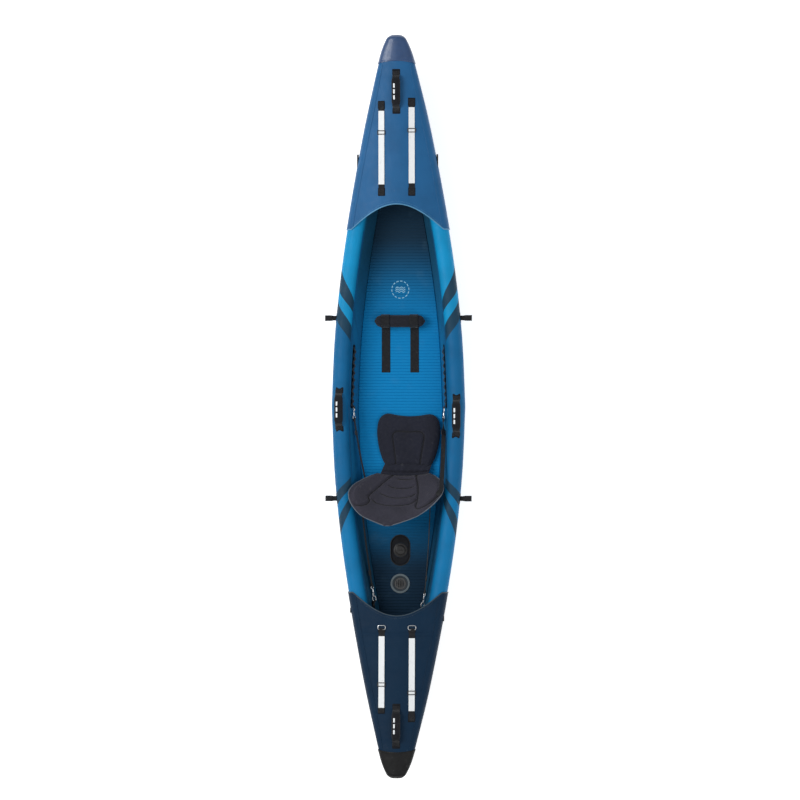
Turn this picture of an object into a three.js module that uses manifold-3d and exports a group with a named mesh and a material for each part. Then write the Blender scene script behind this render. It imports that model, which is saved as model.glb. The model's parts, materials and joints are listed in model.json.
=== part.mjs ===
// Inflatable drop-stitch kayak: two flared side chambers and a floor chamber, fabric decks with
// arched cockpit edges, moulded tip caps, carry handles, paddle loops, cargo straps, a footrest
// and a folding seat held by four strap-and-snap-hook stays.
// Millimetres. +Y is the bow, +X starboard, +Z up. The flat of the bottom lies at z = 0.

import * as THREE from 'three';
import { mergeVertices } from 'three/addons/utils/BufferGeometryUtils.js';
import Module from 'manifold-3d';

const wasm = await Module();
wasm.setup();

// ---- Driving dimensions -----------------------------------------------------------------

const halfLength = 2150;

// Half beam at the widest line of the side chambers, from midships to the tip.
const beamStations = [
  [0, 390], [400, 372], [800, 330], [1200, 267], [1600, 191], [1850, 134], [2050, 82], [2150, 36],
];

const sheerMid = 300;
const sheerRise = 130;
const rockerRise = 120;
const rockerStart = 600;
const stemStart = 1960;
const stemRise = 225;
const curvePower = 2.2;

const chamberThickness = 100;
const chamberFlare = THREE.MathUtils.degToRad(15);
const chamberEnd = 2040;
const keelLineGap = 1.5;
const floorEnd = 1690;
const padEnd = 1440;
const padThickness = 8;
const gap = 0.4;

const deckGap = 2.2;
const deckThickness = 2.5;
const deckEnd = 2030;
const capStart = 1984;
const capWall = 3;
const capNotch = 17;
const bow = { name: 'bow', sign: 1, crest: 1173, drop: 144, slope: 25 };
const stern = { name: 'stern', sign: -1, crest: 1213, drop: 134, slope: 17 };
const tipSlope = 16;
const archFootShare = 0.6;

const webbingThickness = 2.5;
const handleWidth = 38;
const handleRise = 26;
const loopStations = { front: 515, rear: -535 };
const loopReach = 62;
const loopWidth = 30;
const deckStrapOffset = 88;
const deckStrapWidth = 36;

const footrestRadius = 40;
const footrestLength = 300;
const footrestY = 499;
const footrestStrapWidth = 50;
const footrestStrapOffset = 84;
const footrestStrapEnd = 200;

const seatX = 47;
const backX = 29;
const seatHingeY = -368;
const seatDepth = 330;
const seatThickness = 42;
const backHeight = 420;
const backThickness = 34;
const backRecline = THREE.MathUtils.degToRad(42);
const seatTwist = THREE.MathUtils.degToRad(-1);

const valveY = -841;
const drainY = -1036;
const sideValveY = -1330;
const finBoxY = -1490;

const colours = {
  hullBlue: 0x1378a8, deckBlue: 0x2d5f8c, deckNavy: 0x20384c, padBlue: 0x0a74b4, capBlack: 0x1e2024,
  webbing: 0x15171b, reflective: 0xe8f0f2, seat: 0x1d1f2b, backrest: 0x37343f, steel: 0xb9bcc0,
  valveGrey: 0x4c4f52, drainGrey: 0x6c7679, rodGrey: 0x8f979c,
};

// ---- Hull lines -------------------------------------------------------------------------

const beamCurve = new THREE.SplineCurve(beamStations.map(([y, b]) => new THREE.Vector2(y, b)));
const beamTable = beamCurve.getPoints(beamStations.length * 24);

function halfBeam(y) {
  const reach = Math.min(Math.abs(y), halfLength);
  const next = beamTable.findIndex((p) => p.x >= reach);
  const b = beamTable[Math.max(next, 1)];
  const a = beamTable[Math.max(next, 1) - 1];
  return a.y + (b.y - a.y) * (reach - a.x) / (b.x - a.x);
}

function sheer(y) {
  return sheerMid + sheerRise * (Math.abs(y) / halfLength) ** curvePower;
}

function keel(y) {
  const reach = Math.abs(y);
  const rocker = Math.max(0, (reach - rockerStart) / (halfLength - rockerStart)) ** curvePower;
  const stem = THREE.MathUtils.clamp((reach - stemStart) / (halfLength - stemStart), 0, 1);
  return rockerRise * rocker + stemRise * (1 - Math.sqrt(1 - stem * stem));
}

// The starboard chamber's section: two round edges of one radius, joined by straight walls.
function chamberSection(y) {
  const radius = Math.min(chamberThickness / 2, 0.3 * halfBeam(y));
  const topX = halfBeam(y) - radius;
  const topZ = sheer(y) - radius;
  const bottomZ = keel(y) + radius;
  const flaredX = topX - Math.tan(chamberFlare) * (topZ - bottomZ);
  const bottomX = Math.max(radius + keelLineGap, flaredX);
  const tilt = Math.atan2(topX - bottomX, topZ - bottomZ);
  return { radius, topX, topZ, bottomX, bottomZ, tilt };
}

function innerWallX(y, z) {
  const { radius, bottomX, bottomZ, tilt } = chamberSection(y);
  return bottomX + (z - bottomZ) * Math.tan(tilt) - radius / Math.cos(tilt);
}

function floorTop(y) {
  return keel(y) + chamberThickness;
}

function padTop(y) {
  return floorTop(y) + gap + padThickness;
}

// Where a taut deck leaves the chambers' round tops: the slope it leaves at, and its line there.
function deckLine(y, end) {
  const { radius, topX, topZ } = chamberSection(y);
  const along = THREE.MathUtils.clamp((Math.abs(y) - end.crest) / (halfLength - end.crest), 0, 1);
  const slope = THREE.MathUtils.degToRad(THREE.MathUtils.lerp(end.slope, tipSlope, along));
  const wrap = radius + deckGap;
  const leaveX = topX + wrap * Math.sin(slope);
  const leaveZ = topZ + wrap * Math.cos(slope);
  return { wrap, topX, topZ, slope, leaveX, leaveZ, crown: leaveX * Math.tan(slope) / 2 };
}

// Underside of a deck: it wraps over the chambers' round tops and rises to a crest between them.
function deckHeight(x, y, end) {
  const { wrap, topX, topZ, leaveX, leaveZ, crown } = deckLine(y, end);
  const reach = Math.abs(x);
  if (reach < leaveX) return leaveZ + crown * (1 - (reach / leaveX) ** 2);
  return topZ + Math.sqrt(Math.max(0, wrap * wrap - (reach - topX) ** 2));
}

// ---- Geometry helpers -------------------------------------------------------------------

function range(from, to, steps) {
  return Array.from({ length: steps + 1 }, (_, k) => from + (to - from) * k / steps);
}

// Turns the faces of an indexed geometry to point out of its volume.
function facingOut(geometry) {
  const position = geometry.attributes.position;
  const index = geometry.index.array;
  const [a, b, c] = [new THREE.Vector3(), new THREE.Vector3(), new THREE.Vector3()];
  let volume = 0;
  for (let k = 0; k < index.length; k += 3) {
    a.fromBufferAttribute(position, index[k]);
    b.fromBufferAttribute(position, index[k + 1]);
    c.fromBufferAttribute(position, index[k + 2]);
    volume += a.dot(b.cross(c));
  }
  if (volume < 0) geometry.index.array.reverse();
  return geometry;
}

function closedBody(points, triangles) {
  const geometry = new THREE.BufferGeometry();
  geometry.setAttribute('position', new THREE.Float32BufferAttribute(points.flatMap((p) => p.toArray()), 3));
  geometry.setIndex(triangles);
  return facingOut(geometry);
}

// A body through convex rings of points, each with the same number of points.
function loft(rings) {
  const count = rings[0].length;
  const triangles = [];
  for (let i = 0; i < rings.length - 1; i++) {
    for (let j = 0; j < count; j++) {
      const a = i * count + j;
      const b = i * count + (j + 1) % count;
      triangles.push(a, b, b + count, a, b + count, a + count);
    }
  }
  const last = (rings.length - 1) * count;
  for (let j = 1; j < count - 1; j++) {
    triangles.push(0, j + 1, j, last, last + j, last + j + 1);
  }
  return closedBody(rings.flat(), triangles);
}

// A body between two matching grids of points, closed round its four edges.
function shell(top, bottom) {
  const rows = top.length;
  const columns = top[0].length;
  const under = rows * columns;
  const at = (i, j) => i * columns + j;
  const triangles = [];
  const quad = (a, b, c, d) => triangles.push(a, b, c, a, c, d);
  for (let i = 0; i < rows - 1; i++) {
    for (let j = 0; j < columns - 1; j++) {
      quad(at(i, j), at(i, j + 1), at(i + 1, j + 1), at(i + 1, j));
      quad(under + at(i, j), under + at(i + 1, j), under + at(i + 1, j + 1), under + at(i, j + 1));
    }
    const end = columns - 1;
    quad(at(i, 0), at(i + 1, 0), under + at(i + 1, 0), under + at(i, 0));
    quad(at(i + 1, end), at(i, end), under + at(i, end), under + at(i + 1, end));
  }
  for (let j = 0; j < columns - 1; j++) {
    const end = rows - 1;
    quad(at(0, j + 1), at(0, j), under + at(0, j), under + at(0, j + 1));
    quad(at(end, j), at(end, j + 1), under + at(end, j + 1), under + at(end, j));
  }
  return closedBody([...top.flat(), ...bottom.flat()], triangles);
}

// A flat strap along a list of points. Its width runs along side, one vector or one for each point.
function strap(points, side, width, thickness = webbingThickness) {
  const rings = points.map((p, k) => {
    const ahead = points[Math.min(k + 1, points.length - 1)];
    const behind = points[Math.max(k - 1, 0)];
    const tangent = ahead.clone().sub(behind).normalize();
    const widthways = Array.isArray(side) ? side[k] : side;
    const across = widthways.clone().addScaledVector(tangent, -widthways.dot(tangent)).normalize();
    const normal = across.clone().cross(tangent);
    const corner = (w, t) => p.clone().addScaledVector(across, w * width / 2).addScaledVector(normal, t);
    const half = thickness / 2;
    return [corner(-1, -half), corner(1, -half), corner(1, half), corner(-1, half)];
  });
  return loft(rings);
}

function lathe(profile, segments = 18) {
  const geometry = new THREE.LatheGeometry(profile.map(([r, z]) => new THREE.Vector2(r, z)), segments);
  return facingOut(geometry.rotateX(Math.PI / 2));
}

function tube(points, radius, sides = 6) {
  const section = new THREE.Shape(range(0, 2 * Math.PI, sides).slice(0, -1)
    .map((a) => new THREE.Vector2(radius * Math.cos(a), radius * Math.sin(a))));
  const path = new THREE.CatmullRomCurve3(points);
  return new THREE.ExtrudeGeometry(section, { extrudePath: path, steps: points.length });
}

function outline(points) {
  return new THREE.Shape(points.map(([x, y]) => new THREE.Vector2(x, y)));
}

function roundedRectangle(width, height, radius, path = new THREE.Shape()) {
  const x = width / 2 - radius;
  const y = height / 2 - radius;
  path.absarc(x, y, radius, 0, Math.PI / 2);
  path.absarc(-x, y, radius, Math.PI / 2, Math.PI);
  path.absarc(-x, -y, radius, Math.PI, 1.5 * Math.PI);
  path.absarc(x, -y, radius, 1.5 * Math.PI, 2 * Math.PI);
  return path;
}

function solidOf(geometry) {
  const bare = geometry.clone();
  bare.deleteAttribute('normal');
  bare.deleteAttribute('uv');
  const merged = mergeVertices(bare, 1e-3);
  return new wasm.Manifold(new wasm.Mesh({
    numProp: 3,
    vertProperties: new Float32Array(merged.attributes.position.array),
    triVerts: new Uint32Array(merged.index.array),
  }));
}

function cut(geometry, ...tools) {
  const solid = tools.reduce((body, tool) => body.subtract(solidOf(tool)), solidOf(geometry));
  const mesh = solid.getMesh();
  const result = new THREE.BufferGeometry();
  result.setAttribute('position', new THREE.Float32BufferAttribute(mesh.vertProperties, 3));
  result.setIndex(new THREE.BufferAttribute(mesh.triVerts, 1));
  return result;
}

function post(radius, bottom, top, x, y) {
  const geometry = new THREE.CylinderGeometry(radius, radius, top - bottom, 24);
  return geometry.rotateX(Math.PI / 2).translate(x, y, (top + bottom) / 2);
}

// ---- Assembly ---------------------------------------------------------------------------

const kayak = new THREE.Group();

function add(name, geometry, colour, parent = kayak, finish = {}) {
  const material = new THREE.MeshStandardMaterial({ color: colour, roughness: 0.6, metalness: 0, ...finish });
  const mesh = new THREE.Mesh(geometry, material);
  mesh.name = name;
  parent.add(mesh);
  return mesh;
}

const metal = { roughness: 0.3, metalness: 1 };
const sides = [['port', -1], ['starboard', 1]];

const probe = 40;

// A group on the inner wall of a side chamber: local X runs along the wall to the bow, Z out of it.
function onWall(side, y, z, lift) {
  const { tilt } = chamberSection(y);
  const taper = innerWallX(y + probe, z) - innerWallX(y - probe, z);
  const forward = new THREE.Vector3(side * taper, 2 * probe, 0).normalize();
  const up = new THREE.Vector3(side * Math.sin(tilt), 0, Math.cos(tilt));
  const normal = forward.clone().cross(up).multiplyScalar(-side).normalize();
  const group = new THREE.Group();
  const basis = new THREE.Matrix4().makeBasis(forward, normal.clone().cross(forward), normal);
  group.quaternion.setFromRotationMatrix(basis);
  group.position.set(side * innerWallX(y, z), y, z).addScaledVector(normal, lift);
  kayak.add(group);
  group.updateMatrixWorld();
  return group;
}

// A group on the centreline whose local XY plane lies along a surface of the given height.
function onCentreline(y, height, lift = 0, x = 0) {
  const group = new THREE.Group();
  group.position.set(x, y, height(y) + lift);
  group.rotation.x = Math.atan2(height(y + probe) - height(y - probe), 2 * probe);
  kayak.add(group);
  group.updateMatrixWorld();
  return group;
}

// ---- Inflated chambers ------------------------------------------------------------------

function chamberRing(y, side) {
  const { radius, topX, topZ, bottomX, bottomZ, tilt } = chamberSection(y);
  const arc = (x, z, from) => range(from, from + Math.PI, 6).map((angle) => {
    const turned = tilt + angle;
    return new THREE.Vector3(side * (x + radius * Math.sin(turned)), y, z + radius * Math.cos(turned));
  });
  return [...arc(topX, topZ, -Math.PI / 2), ...arc(bottomX, bottomZ, Math.PI / 2)];
}

const endStations = [chamberEnd, 1990, 1910, 1800];
const floorStations = range(-floorEnd, floorEnd, 22);
const hullStations = [
  ...endStations.map((y) => -y), ...floorStations, ...endStations.toReversed(),
];

const valvePocket = 27.5;
const valvePocketDepth = 54;

function sideValvePocket(side) {
  const z = (sheer(sideValveY) + keel(sideValveY)) / 2;
  const holder = onWall(side, sideValveY, z, 0);
  return post(valvePocket, -valvePocketDepth, 20, 0, 0).applyMatrix4(holder.matrixWorld);
}

for (const [name, side] of sides) {
  const chamber = loft(hullStations.map((y) => chamberRing(y, side)));
  add(`${name}_side_chamber`, cut(chamber, sideValvePocket(side)), colours.hullBlue);
}

function floorHalfWidth(y) {
  const { radius, bottomX } = chamberSection(y);
  return bottomX - radius - gap;
}

function floorRing(y) {
  const half = chamberThickness / 2;
  const width = floorHalfWidth(y);
  const corner = Math.min(half, width) - 0.5;
  const corners = [[1, 1, 0], [-1, 1, 90], [-1, -1, 180], [1, -1, 270]];
  return corners.flatMap(([sx, sz, start]) => range(start, start + 90, 3).map((degrees) => {
    const angle = THREE.MathUtils.degToRad(degrees);
    const x = sx * (width - corner) + corner * Math.cos(angle);
    const z = keel(y) + half + sz * (half - corner) + corner * Math.sin(angle);
    return new THREE.Vector3(x, y, z);
  }));
}

const drainBore = 25.6;

function floorChamber() {
  const body = loft(floorStations.map(floorRing));
  const pocket = post(valvePocket, -valvePocketDepth, 20, 0, 0);
  const bore = post(drainBore, -1.5 * chamberThickness, 20, 0, 0);
  return cut(
    body,
    pocket.applyMatrix4(onCentreline(valveY, floorTop).matrixWorld),
    bore.applyMatrix4(onCentreline(drainY, floorTop).matrixWorld),
  );
}

add('floor_chamber', floorChamber(), colours.hullBlue);

// ---- Floor pad with its valve window and drain hole ----------------------------------------

const windowWidth = 112;
const windowLength = 178;
const drainSeat = 37.2;

function floorPad() {
  const edge = (y, z) => innerWallX(y, z) - 2.5;
  const row = (y, z) => [-1, -0.5, 0, 0.5, 1].map((u) => new THREE.Vector3(u * edge(y, padTop(y)), y, z));
  const stations = [-padEnd, ...floorStations.filter((y) => Math.abs(y) < padEnd - 30), padEnd];
  const body = shell(stations.map((y) => row(y, padTop(y))), stations.map((y) => row(y, floorTop(y) + gap)));
  const window = new THREE.ExtrudeGeometry(
    roundedRectangle(windowWidth, windowLength, windowWidth / 2 - 1),
    { depth: 60, bevelEnabled: false, curveSegments: 8 },
  ).translate(0, valveY, floorTop(valveY) - 20);
  const seat = post(drainSeat, -20, 20, 0, 0).applyMatrix4(onCentreline(drainY, padTop).matrixWorld);
  return cut(body, window, seat);
}

add('floor_pad', floorPad(), colours.padBlue);

// ---- Decks, arch rods and tip caps ---------------------------------------------------------

const ridgeShare = 0.8;

// A point of a deck's section. Share runs from -1 at the port edge to 1 at the starboard edge.
function deckPoint(share, y, end, lift) {
  const { wrap, topX, topZ, slope, leaveX } = deckLine(y, end);
  const reach = Math.abs(share);
  const side = Math.sign(share) || 1;
  if (reach < ridgeShare) {
    const x = leaveX * reach / ridgeShare;
    return new THREE.Vector3(side * x, y, deckHeight(x, y, end) + lift);
  }
  const angle = THREE.MathUtils.mapLinear(reach, ridgeShare, 1, slope, Math.PI / 2);
  const out = wrap + lift;
  return new THREE.Vector3(side * (topX + out * Math.sin(angle)), y, topZ + out * Math.cos(angle));
}

// Where a deck's cockpit edge lies along the hull: a parabola with its feet on top of the chambers.
function archY(x, end) {
  const inner = halfBeam(end.crest - end.drop) - chamberThickness;
  const foot = inner + archFootShare * chamberThickness;
  const reach = Math.abs(x);
  return end.crest - end.drop * Math.min(1, reach / foot) ** 2;
}

function deck(end) {
  const innerShares = range(-ridgeShare, ridgeShare, 8);
  const wrapShares = range(ridgeShare, 1, 5).slice(1);
  const shares = [...wrapShares.toReversed().map((s) => -s), ...innerShares, ...wrapShares];
  const rows = range(0, 1, 13);
  const reference = end.crest - end.drop / 2;
  const grid = (lift) => rows.map((along) => shares.map((share) => {
    const edge = archY(deckPoint(share, reference, end, 0).x, end);
    const y = end.sign * (edge + (deckEnd - edge) * along);
    return deckPoint(share, y, end, lift);
  }));
  return shell(grid(deckThickness), grid(0));
}

const rodRadius = 5;

function archRod(end) {
  const limit = halfBeam(end.crest - end.drop / 2) - chamberThickness - 14;
  const points = range(-limit, limit, 10).map((x) => {
    const y = end.sign * (archY(x, end) + 9);
    return new THREE.Vector3(x, y, deckHeight(x, y, end) - rodRadius - 4);
  });
  return tube(points, rodRadius);
}

// The hull's whole outline at one station, deck and all, made larger by grow.
function hullRing(y, end, grow, shrink = 1, notch = 0) {
  const { radius, topX, topZ, bottomX, bottomZ, tilt } = chamberSection(y);
  const { slope, leaveX } = deckLine(y, end);
  const half = [];
  for (const share of [0, 0.35, 0.7]) {
    half.push([leaveX * share, deckHeight(leaveX * share, y, end) + grow]);
  }
  for (const angle of range(slope, Math.PI / 2 + tilt, 4)) {
    half.push([topX + (radius + grow) * Math.sin(angle), topZ + (radius + grow) * Math.cos(angle)]);
  }
  for (const angle of range(Math.PI / 2 + tilt, Math.PI, 4)) {
    half.push([bottomX + (radius + grow) * Math.sin(angle), bottomZ + (radius + grow) * Math.cos(angle)]);
  }
  half.push([0, bottomZ - radius - grow]);
  const mirrored = half.slice(1, -1).reverse().map(([x, z]) => [-x, z]);
  const middle = (sheer(y) + keel(y)) / 2;
  const widest = topX + radius + grow;
  return [...half, ...mirrored].map(([x, z]) => {
    const back = end.sign * notch * (1 - (x / widest) ** 2);
    return new THREE.Vector3(x * shrink, y + back, middle + (z - middle) * shrink);
  });
}

function tipCap(end) {
  const inside = deckGap + deckThickness + 0.8;
  const outside = inside + capWall;
  const noseLength = 26;
  const steps = 6;
  const body = range(capStart, halfLength - noseLength, steps);
  const bodyRings = body.map((y, k) => hullRing(end.sign * y, end, outside, 1, capNotch * (1 - k / steps)));
  const noseRings = [25, 50, 72, 90].map((degrees) => {
    const angle = THREE.MathUtils.degToRad(degrees);
    const y = halfLength - noseLength + noseLength * Math.sin(angle);
    return hullRing(end.sign * y, end, outside, 0.45 + 0.55 * Math.cos(angle));
  });
  const cavityEnd = 2086;
  const cavity = range(capStart - 40, cavityEnd, steps).map((y) => hullRing(end.sign * y, end, inside));
  return cut(loft([...bodyRings, ...noseRings]), loft(cavity));
}

for (const end of [bow, stern]) {
  add(`${end.name}_deck`, deck(end), end === bow ? colours.deckBlue : colours.deckNavy);
  add(`${end.name}_arch_rod`, archRod(end), colours.rodGrey);
  add(`${end.name}_cap`, tipCap(end), colours.capBlack, kayak, { roughness: 0.35 });
}

// ---- Carry handles ------------------------------------------------------------------------

const gripLength = 150;
const gripWidth = 50;
const gripHeight = 20;
const handleLength = 232;

// Webbing sewn down at both ends that arches over a finger gap, under a padded sleeve.
function handleWebbing() {
  const foot = handleLength / 2;
  const low = webbingThickness / 2;
  const high = low + handleRise;
  const half = [
    [gripLength / 2 + 2, high], [gripLength / 2 + 8, high - 3], [gripLength / 2 + 14, high - 11],
    [gripLength / 2 + 18, low + 5], [gripLength / 2 + 24, low], [foot, low],
  ];
  const points = [...half.map(([y, z]) => [-y, z]).reverse(), ...half];
  return strap(points.map(([y, z]) => new THREE.Vector3(0, y, z)), new THREE.Vector3(1, 0, 0), handleWidth);
}

function handleGrip() {
  const slot = roundedRectangle(handleWidth + 2 * gap, webbingThickness + 2 * gap, 0.5, new THREE.Path());
  const section = roundedRectangle(gripWidth, gripHeight, gripHeight / 2 - 1);
  section.holes.push(slot);
  const sleeve = new THREE.ExtrudeGeometry(section, { depth: gripLength, bevelEnabled: false, curveSegments: 4 });
  const height = webbingThickness / 2 + handleRise;
  return sleeve.rotateX(Math.PI / 2).translate(0, gripLength / 2, height);
}

const sideHandleInset = 46;
const handles = [
  ['bow', 0, 1822, bow, 0], ['stern', 0, -1848, stern, 0],
  ['port', -1, -17, null, 0], ['starboard', 1, -55, null, 0],
];

for (const [name, side, y, end] of handles) {
  const height = end ? (station) => deckHeight(0, station, end) + deckThickness : sheer;
  const group = onCentreline(y, height, 1.2, side * (halfBeam(y) - sideHandleInset));
  add(`${name}_handle_webbing`, handleWebbing(), colours.webbing, group);
  add(`${name}_handle_grip`, handleGrip(), colours.webbing, group, { roughness: 0.8 });
}

// ---- Paddle loops on the gunwales ------------------------------------------------------------

const loopRoot = 5;

// A flat loop of webbing: thin where its two layers meet the hull, open further out.
function paddleLoop() {
  const half = 9;
  const tip = loopReach - half;
  const outer = new THREE.Shape();
  outer.moveTo(0, -3);
  outer.lineTo(12, -3);
  outer.lineTo(22, -half);
  outer.lineTo(tip, -half);
  outer.absarc(tip, 0, half, -Math.PI / 2, Math.PI / 2);
  outer.lineTo(22, half);
  outer.lineTo(12, 3);
  outer.lineTo(0, 3);
  const inner = new THREE.Path();
  const clear = half - webbingThickness;
  inner.moveTo(15, -1);
  inner.lineTo(24, -clear);
  inner.lineTo(tip, -clear);
  inner.absarc(tip, 0, clear, -Math.PI / 2, Math.PI / 2);
  inner.lineTo(24, clear);
  inner.lineTo(15, 1);
  outer.holes.push(inner);
  const body = new THREE.ExtrudeGeometry(outer, { depth: loopWidth, bevelEnabled: false, curveSegments: 5 });
  return body.translate(0, 0, -loopWidth / 2).rotateX(Math.PI / 2);
}

for (const [place, y] of Object.entries(loopStations)) {
  for (const [name, side] of sides) {
    const group = new THREE.Group();
    const { topZ } = chamberSection(y);
    group.position.set(side * (halfBeam(y) + loopRoot), y, topZ);
    group.rotation.z = side > 0 ? 0 : Math.PI;
    kayak.add(group);
    add(`${name}_${place}_paddle_loop`, paddleLoop(), colours.webbing, group);
  }
}

// ---- Reflective cargo straps on the decks -----------------------------------------------------

const cargoStraps = [
  ['bow_port', bow, -1, 1225, 1763], ['bow_starboard', bow, 1, 1225, 1780],
  ['stern_port', stern, -1, 1290, 1772], ['stern_starboard', stern, 1, 1290, 1819],
];

for (const [name, end, side, from, to] of cargoStraps) {
  const x = side * deckStrapOffset;
  const edge = deckStrapWidth / 2;
  const stations = range(from, to, 9).map((reach) => end.sign * reach);
  const lift = deckThickness + webbingThickness / 2 + 2.2;
  const points = stations.map((y) => new THREE.Vector3(x, y, deckHeight(x, y, end) + lift));
  const slopes = stations.map((y) => {
    const fall = deckHeight(x + edge, y, end) - deckHeight(x - edge, y, end);
    return new THREE.Vector3(2 * edge, 0, fall);
  });
  add(`${name}_cargo_strap`, strap(points, slopes, deckStrapWidth), colours.reflective);
}

// ---- Footrest ----------------------------------------------------------------------------------

function footrestRoll() {
  const bend = 22;
  const half = footrestLength / 2;
  const corner = (sign) => range(0, Math.PI / 2, 4).map((a) => [
    footrestRadius - bend + bend * (sign < 0 ? Math.sin(a) : Math.cos(a)),
    sign * (half - bend) + sign * bend * (sign < 0 ? Math.cos(a) : Math.sin(a)),
  ]);
  const profile = [[0, -half], ...corner(-1), ...corner(1), [0, half]];
  return lathe(profile, 20).rotateY(Math.PI / 2);
}

const footrestStrapTop = padTop(footrestY) + gap + 3;
add('footrest_roll', footrestRoll(), colours.seat)
  .position.set(0, footrestY, footrestStrapTop + footrestRadius + 1);

for (const [name, side] of sides) {
  const points = range(footrestStrapEnd, footrestY + 10, 4)
    .map((y) => new THREE.Vector3(side * footrestStrapOffset, y, padTop(y) + gap + 1.5));
  const across = new THREE.Vector3(1, 0, 0);
  add(`${name}_footrest_strap`, strap(points, across, footrestStrapWidth, 3), colours.webbing);
}

// ---- Seat ----------------------------------------------------------------------------------------

// The seat's cushion, wider at the front, in local millimetres from the hinge line forward.
function seatBase() {
  const shape = outline([[-136, 6], [136, 6]]);
  shape.bezierCurveTo(176, 60, 200, 150, 197, 240);
  shape.bezierCurveTo(195, 300, 166, seatDepth + 8, 116, seatDepth);
  shape.quadraticCurveTo(0, seatDepth - 16, -116, seatDepth);
  shape.bezierCurveTo(-166, seatDepth + 8, -195, 300, -197, 240);
  shape.bezierCurveTo(-200, 150, -176, 60, -136, 6);
  const bevel = 12;
  return new THREE.ExtrudeGeometry(shape, {
    depth: seatThickness - 2 * bevel, bevelThickness: bevel, bevelSize: bevel, bevelOffset: -bevel,
    bevelSegments: 2, curveSegments: 5,
  }).translate(0, 0, bevel);
}

const hingeTaper = 70;
const hingeGap = 12;
const hingeHalfWidth = 145;
const wingHalfWidth = 282;
const wingShare = 0.495;
const wingWrap = 80;
const rimHalfWidth = 60;
const slump = 82;

// The backrest stands along local +Z from the hinge line: widest at its wings, pointed at the far rim.
function backHalfWidth(height) {
  const share = height / backHeight;
  const rise = Math.sin(Math.min(share / wingShare, 1) * Math.PI / 2);
  const fall = Math.max(0, share - wingShare) / (1 - wingShare);
  const half = THREE.MathUtils.lerp(hingeHalfWidth, wingHalfWidth, rise) * (1 - fall ** 1.8) ** 0.62;
  return Math.max(half, rimHalfWidth);
}

// A point of the backrest's middle surface. Its wings curve forward, and it has slumped towards port.
function backPoint(share, height, lift = 0) {
  const x = share * backHalfWidth(height);
  const sideways = slump * (height / backHeight) ** 1.1;
  return new THREE.Vector3(x - sideways, wingWrap * (x / wingHalfWidth) ** 2 + lift, height);
}

function backrest() {
  const shares = range(-1, 1, 10);
  const heights = range(16, backHeight, 12);
  const grid = (face) => heights.map((height) => shares.map((share) => {
    const thinning = [Math.abs(share) ** 4, (height / backHeight) ** 10, 1 - height / hingeTaper];
    const rim = Math.max(...thinning);
    return backPoint(share, height, face * backThickness / 2 * (1 - 0.6 * rim));
  }));
  return shell(grid(1), grid(-1));
}

const seatZ = padTop(seatHingeY) + 0.6;
const seatGroup = new THREE.Group();
seatGroup.position.set(seatX, seatHingeY, seatZ);
seatGroup.rotation.z = seatTwist;
kayak.add(seatGroup);
add('seat_base', seatBase(), colours.seat, seatGroup);

const backGroup = new THREE.Group();
backGroup.position.set(backX, seatHingeY - 18, seatZ + backThickness / 2 + hingeGap);
backGroup.rotation.x = Math.PI / 2 - backRecline;
kayak.add(backGroup);
add('seat_backrest', backrest(), colours.backrest, backGroup);
backGroup.updateMatrixWorld();

function onBackrest(share, height, lift) {
  return backPoint(share, height, lift).applyMatrix4(backGroup.matrixWorld);
}

// ---- Snap hooks, stays and rails --------------------------------------------------------------------

const hookLength = 74;
const hookThickness = 6;

// A trigger snap hook in its own plane: a webbing eye at the back and an open hook in front.
function snapHook() {
  const eye = roundedRectangle(10, 34, 4).getPoints(3).map((p) => new THREE.Vector2(p.x - 4, p.y));
  const frame = new THREE.Shape();
  frame.moveTo(-10, -20);
  frame.lineTo(6, -20);
  frame.lineTo(12, -7);
  frame.lineTo(22, -5);
  frame.lineTo(30, -13);
  frame.absarc(hookLength - 31, 0, 15, -Math.PI / 2, Math.PI * 0.42);
  frame.lineTo(hookLength - 29, 8);
  frame.absarc(hookLength - 31, 0, 8, Math.PI * 0.42, -Math.PI / 2, true);
  frame.lineTo(34, -7);
  frame.lineTo(28, 0);
  frame.lineTo(22, 5);
  frame.lineTo(12, 7);
  frame.lineTo(6, 20);
  frame.lineTo(-10, 20);
  frame.holes.push(new THREE.Path(eye));
  const body = new THREE.ExtrudeGeometry(frame, { depth: hookThickness, bevelEnabled: false, curveSegments: 6 });
  return body.translate(0, 0, -hookThickness / 2);
}

function hookGate() {
  const shape = outline([[24.5, 6], [30, 3.5], [44, 9.5], [43, 14.5], [28, 12.5]]);
  const body = new THREE.ExtrudeGeometry(shape, { depth: 4, bevelEnabled: false });
  return body.translate(0, 0, -2);
}

const ringBar = 4.5;
const ringLength = 34;
const ringHeight = 24;
const hookBendX = 46;

// A ring in the hook's XZ plane: its near bar passes through the hook's bend.
function dRing() {
  const ring = roundedRectangle(ringLength, ringHeight, 9);
  const inside = roundedRectangle(ringLength - 2 * ringBar, ringHeight - 2 * ringBar, 5, new THREE.Path());
  ring.holes.push(inside);
  const body = new THREE.ExtrudeGeometry(ring, { depth: ringBar, bevelEnabled: false, curveSegments: 3 });
  return body.rotateX(Math.PI / 2).translate(hookBendX + (ringLength - ringBar) / 2, ringBar / 2, 0);
}

const hookLift = 14.5;
const rearHookY = { port: -1062, starboard: -1100 };
const frontHookY = -60;
const frontHookZ = 212;
const rearHookZ = 205;
const eyeReach = 14;
const stayWidth = 25;
// Where the stays are sewn to the backrest: share of its half width, height and lift off its middle.
const frontAnchors = { port: [-0.95, 80, -27], starboard: [0.94, 210, 24] };
const rearAnchors = { port: [-0.72, 225, -25], starboard: [0.72, 225, -25] };

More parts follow.
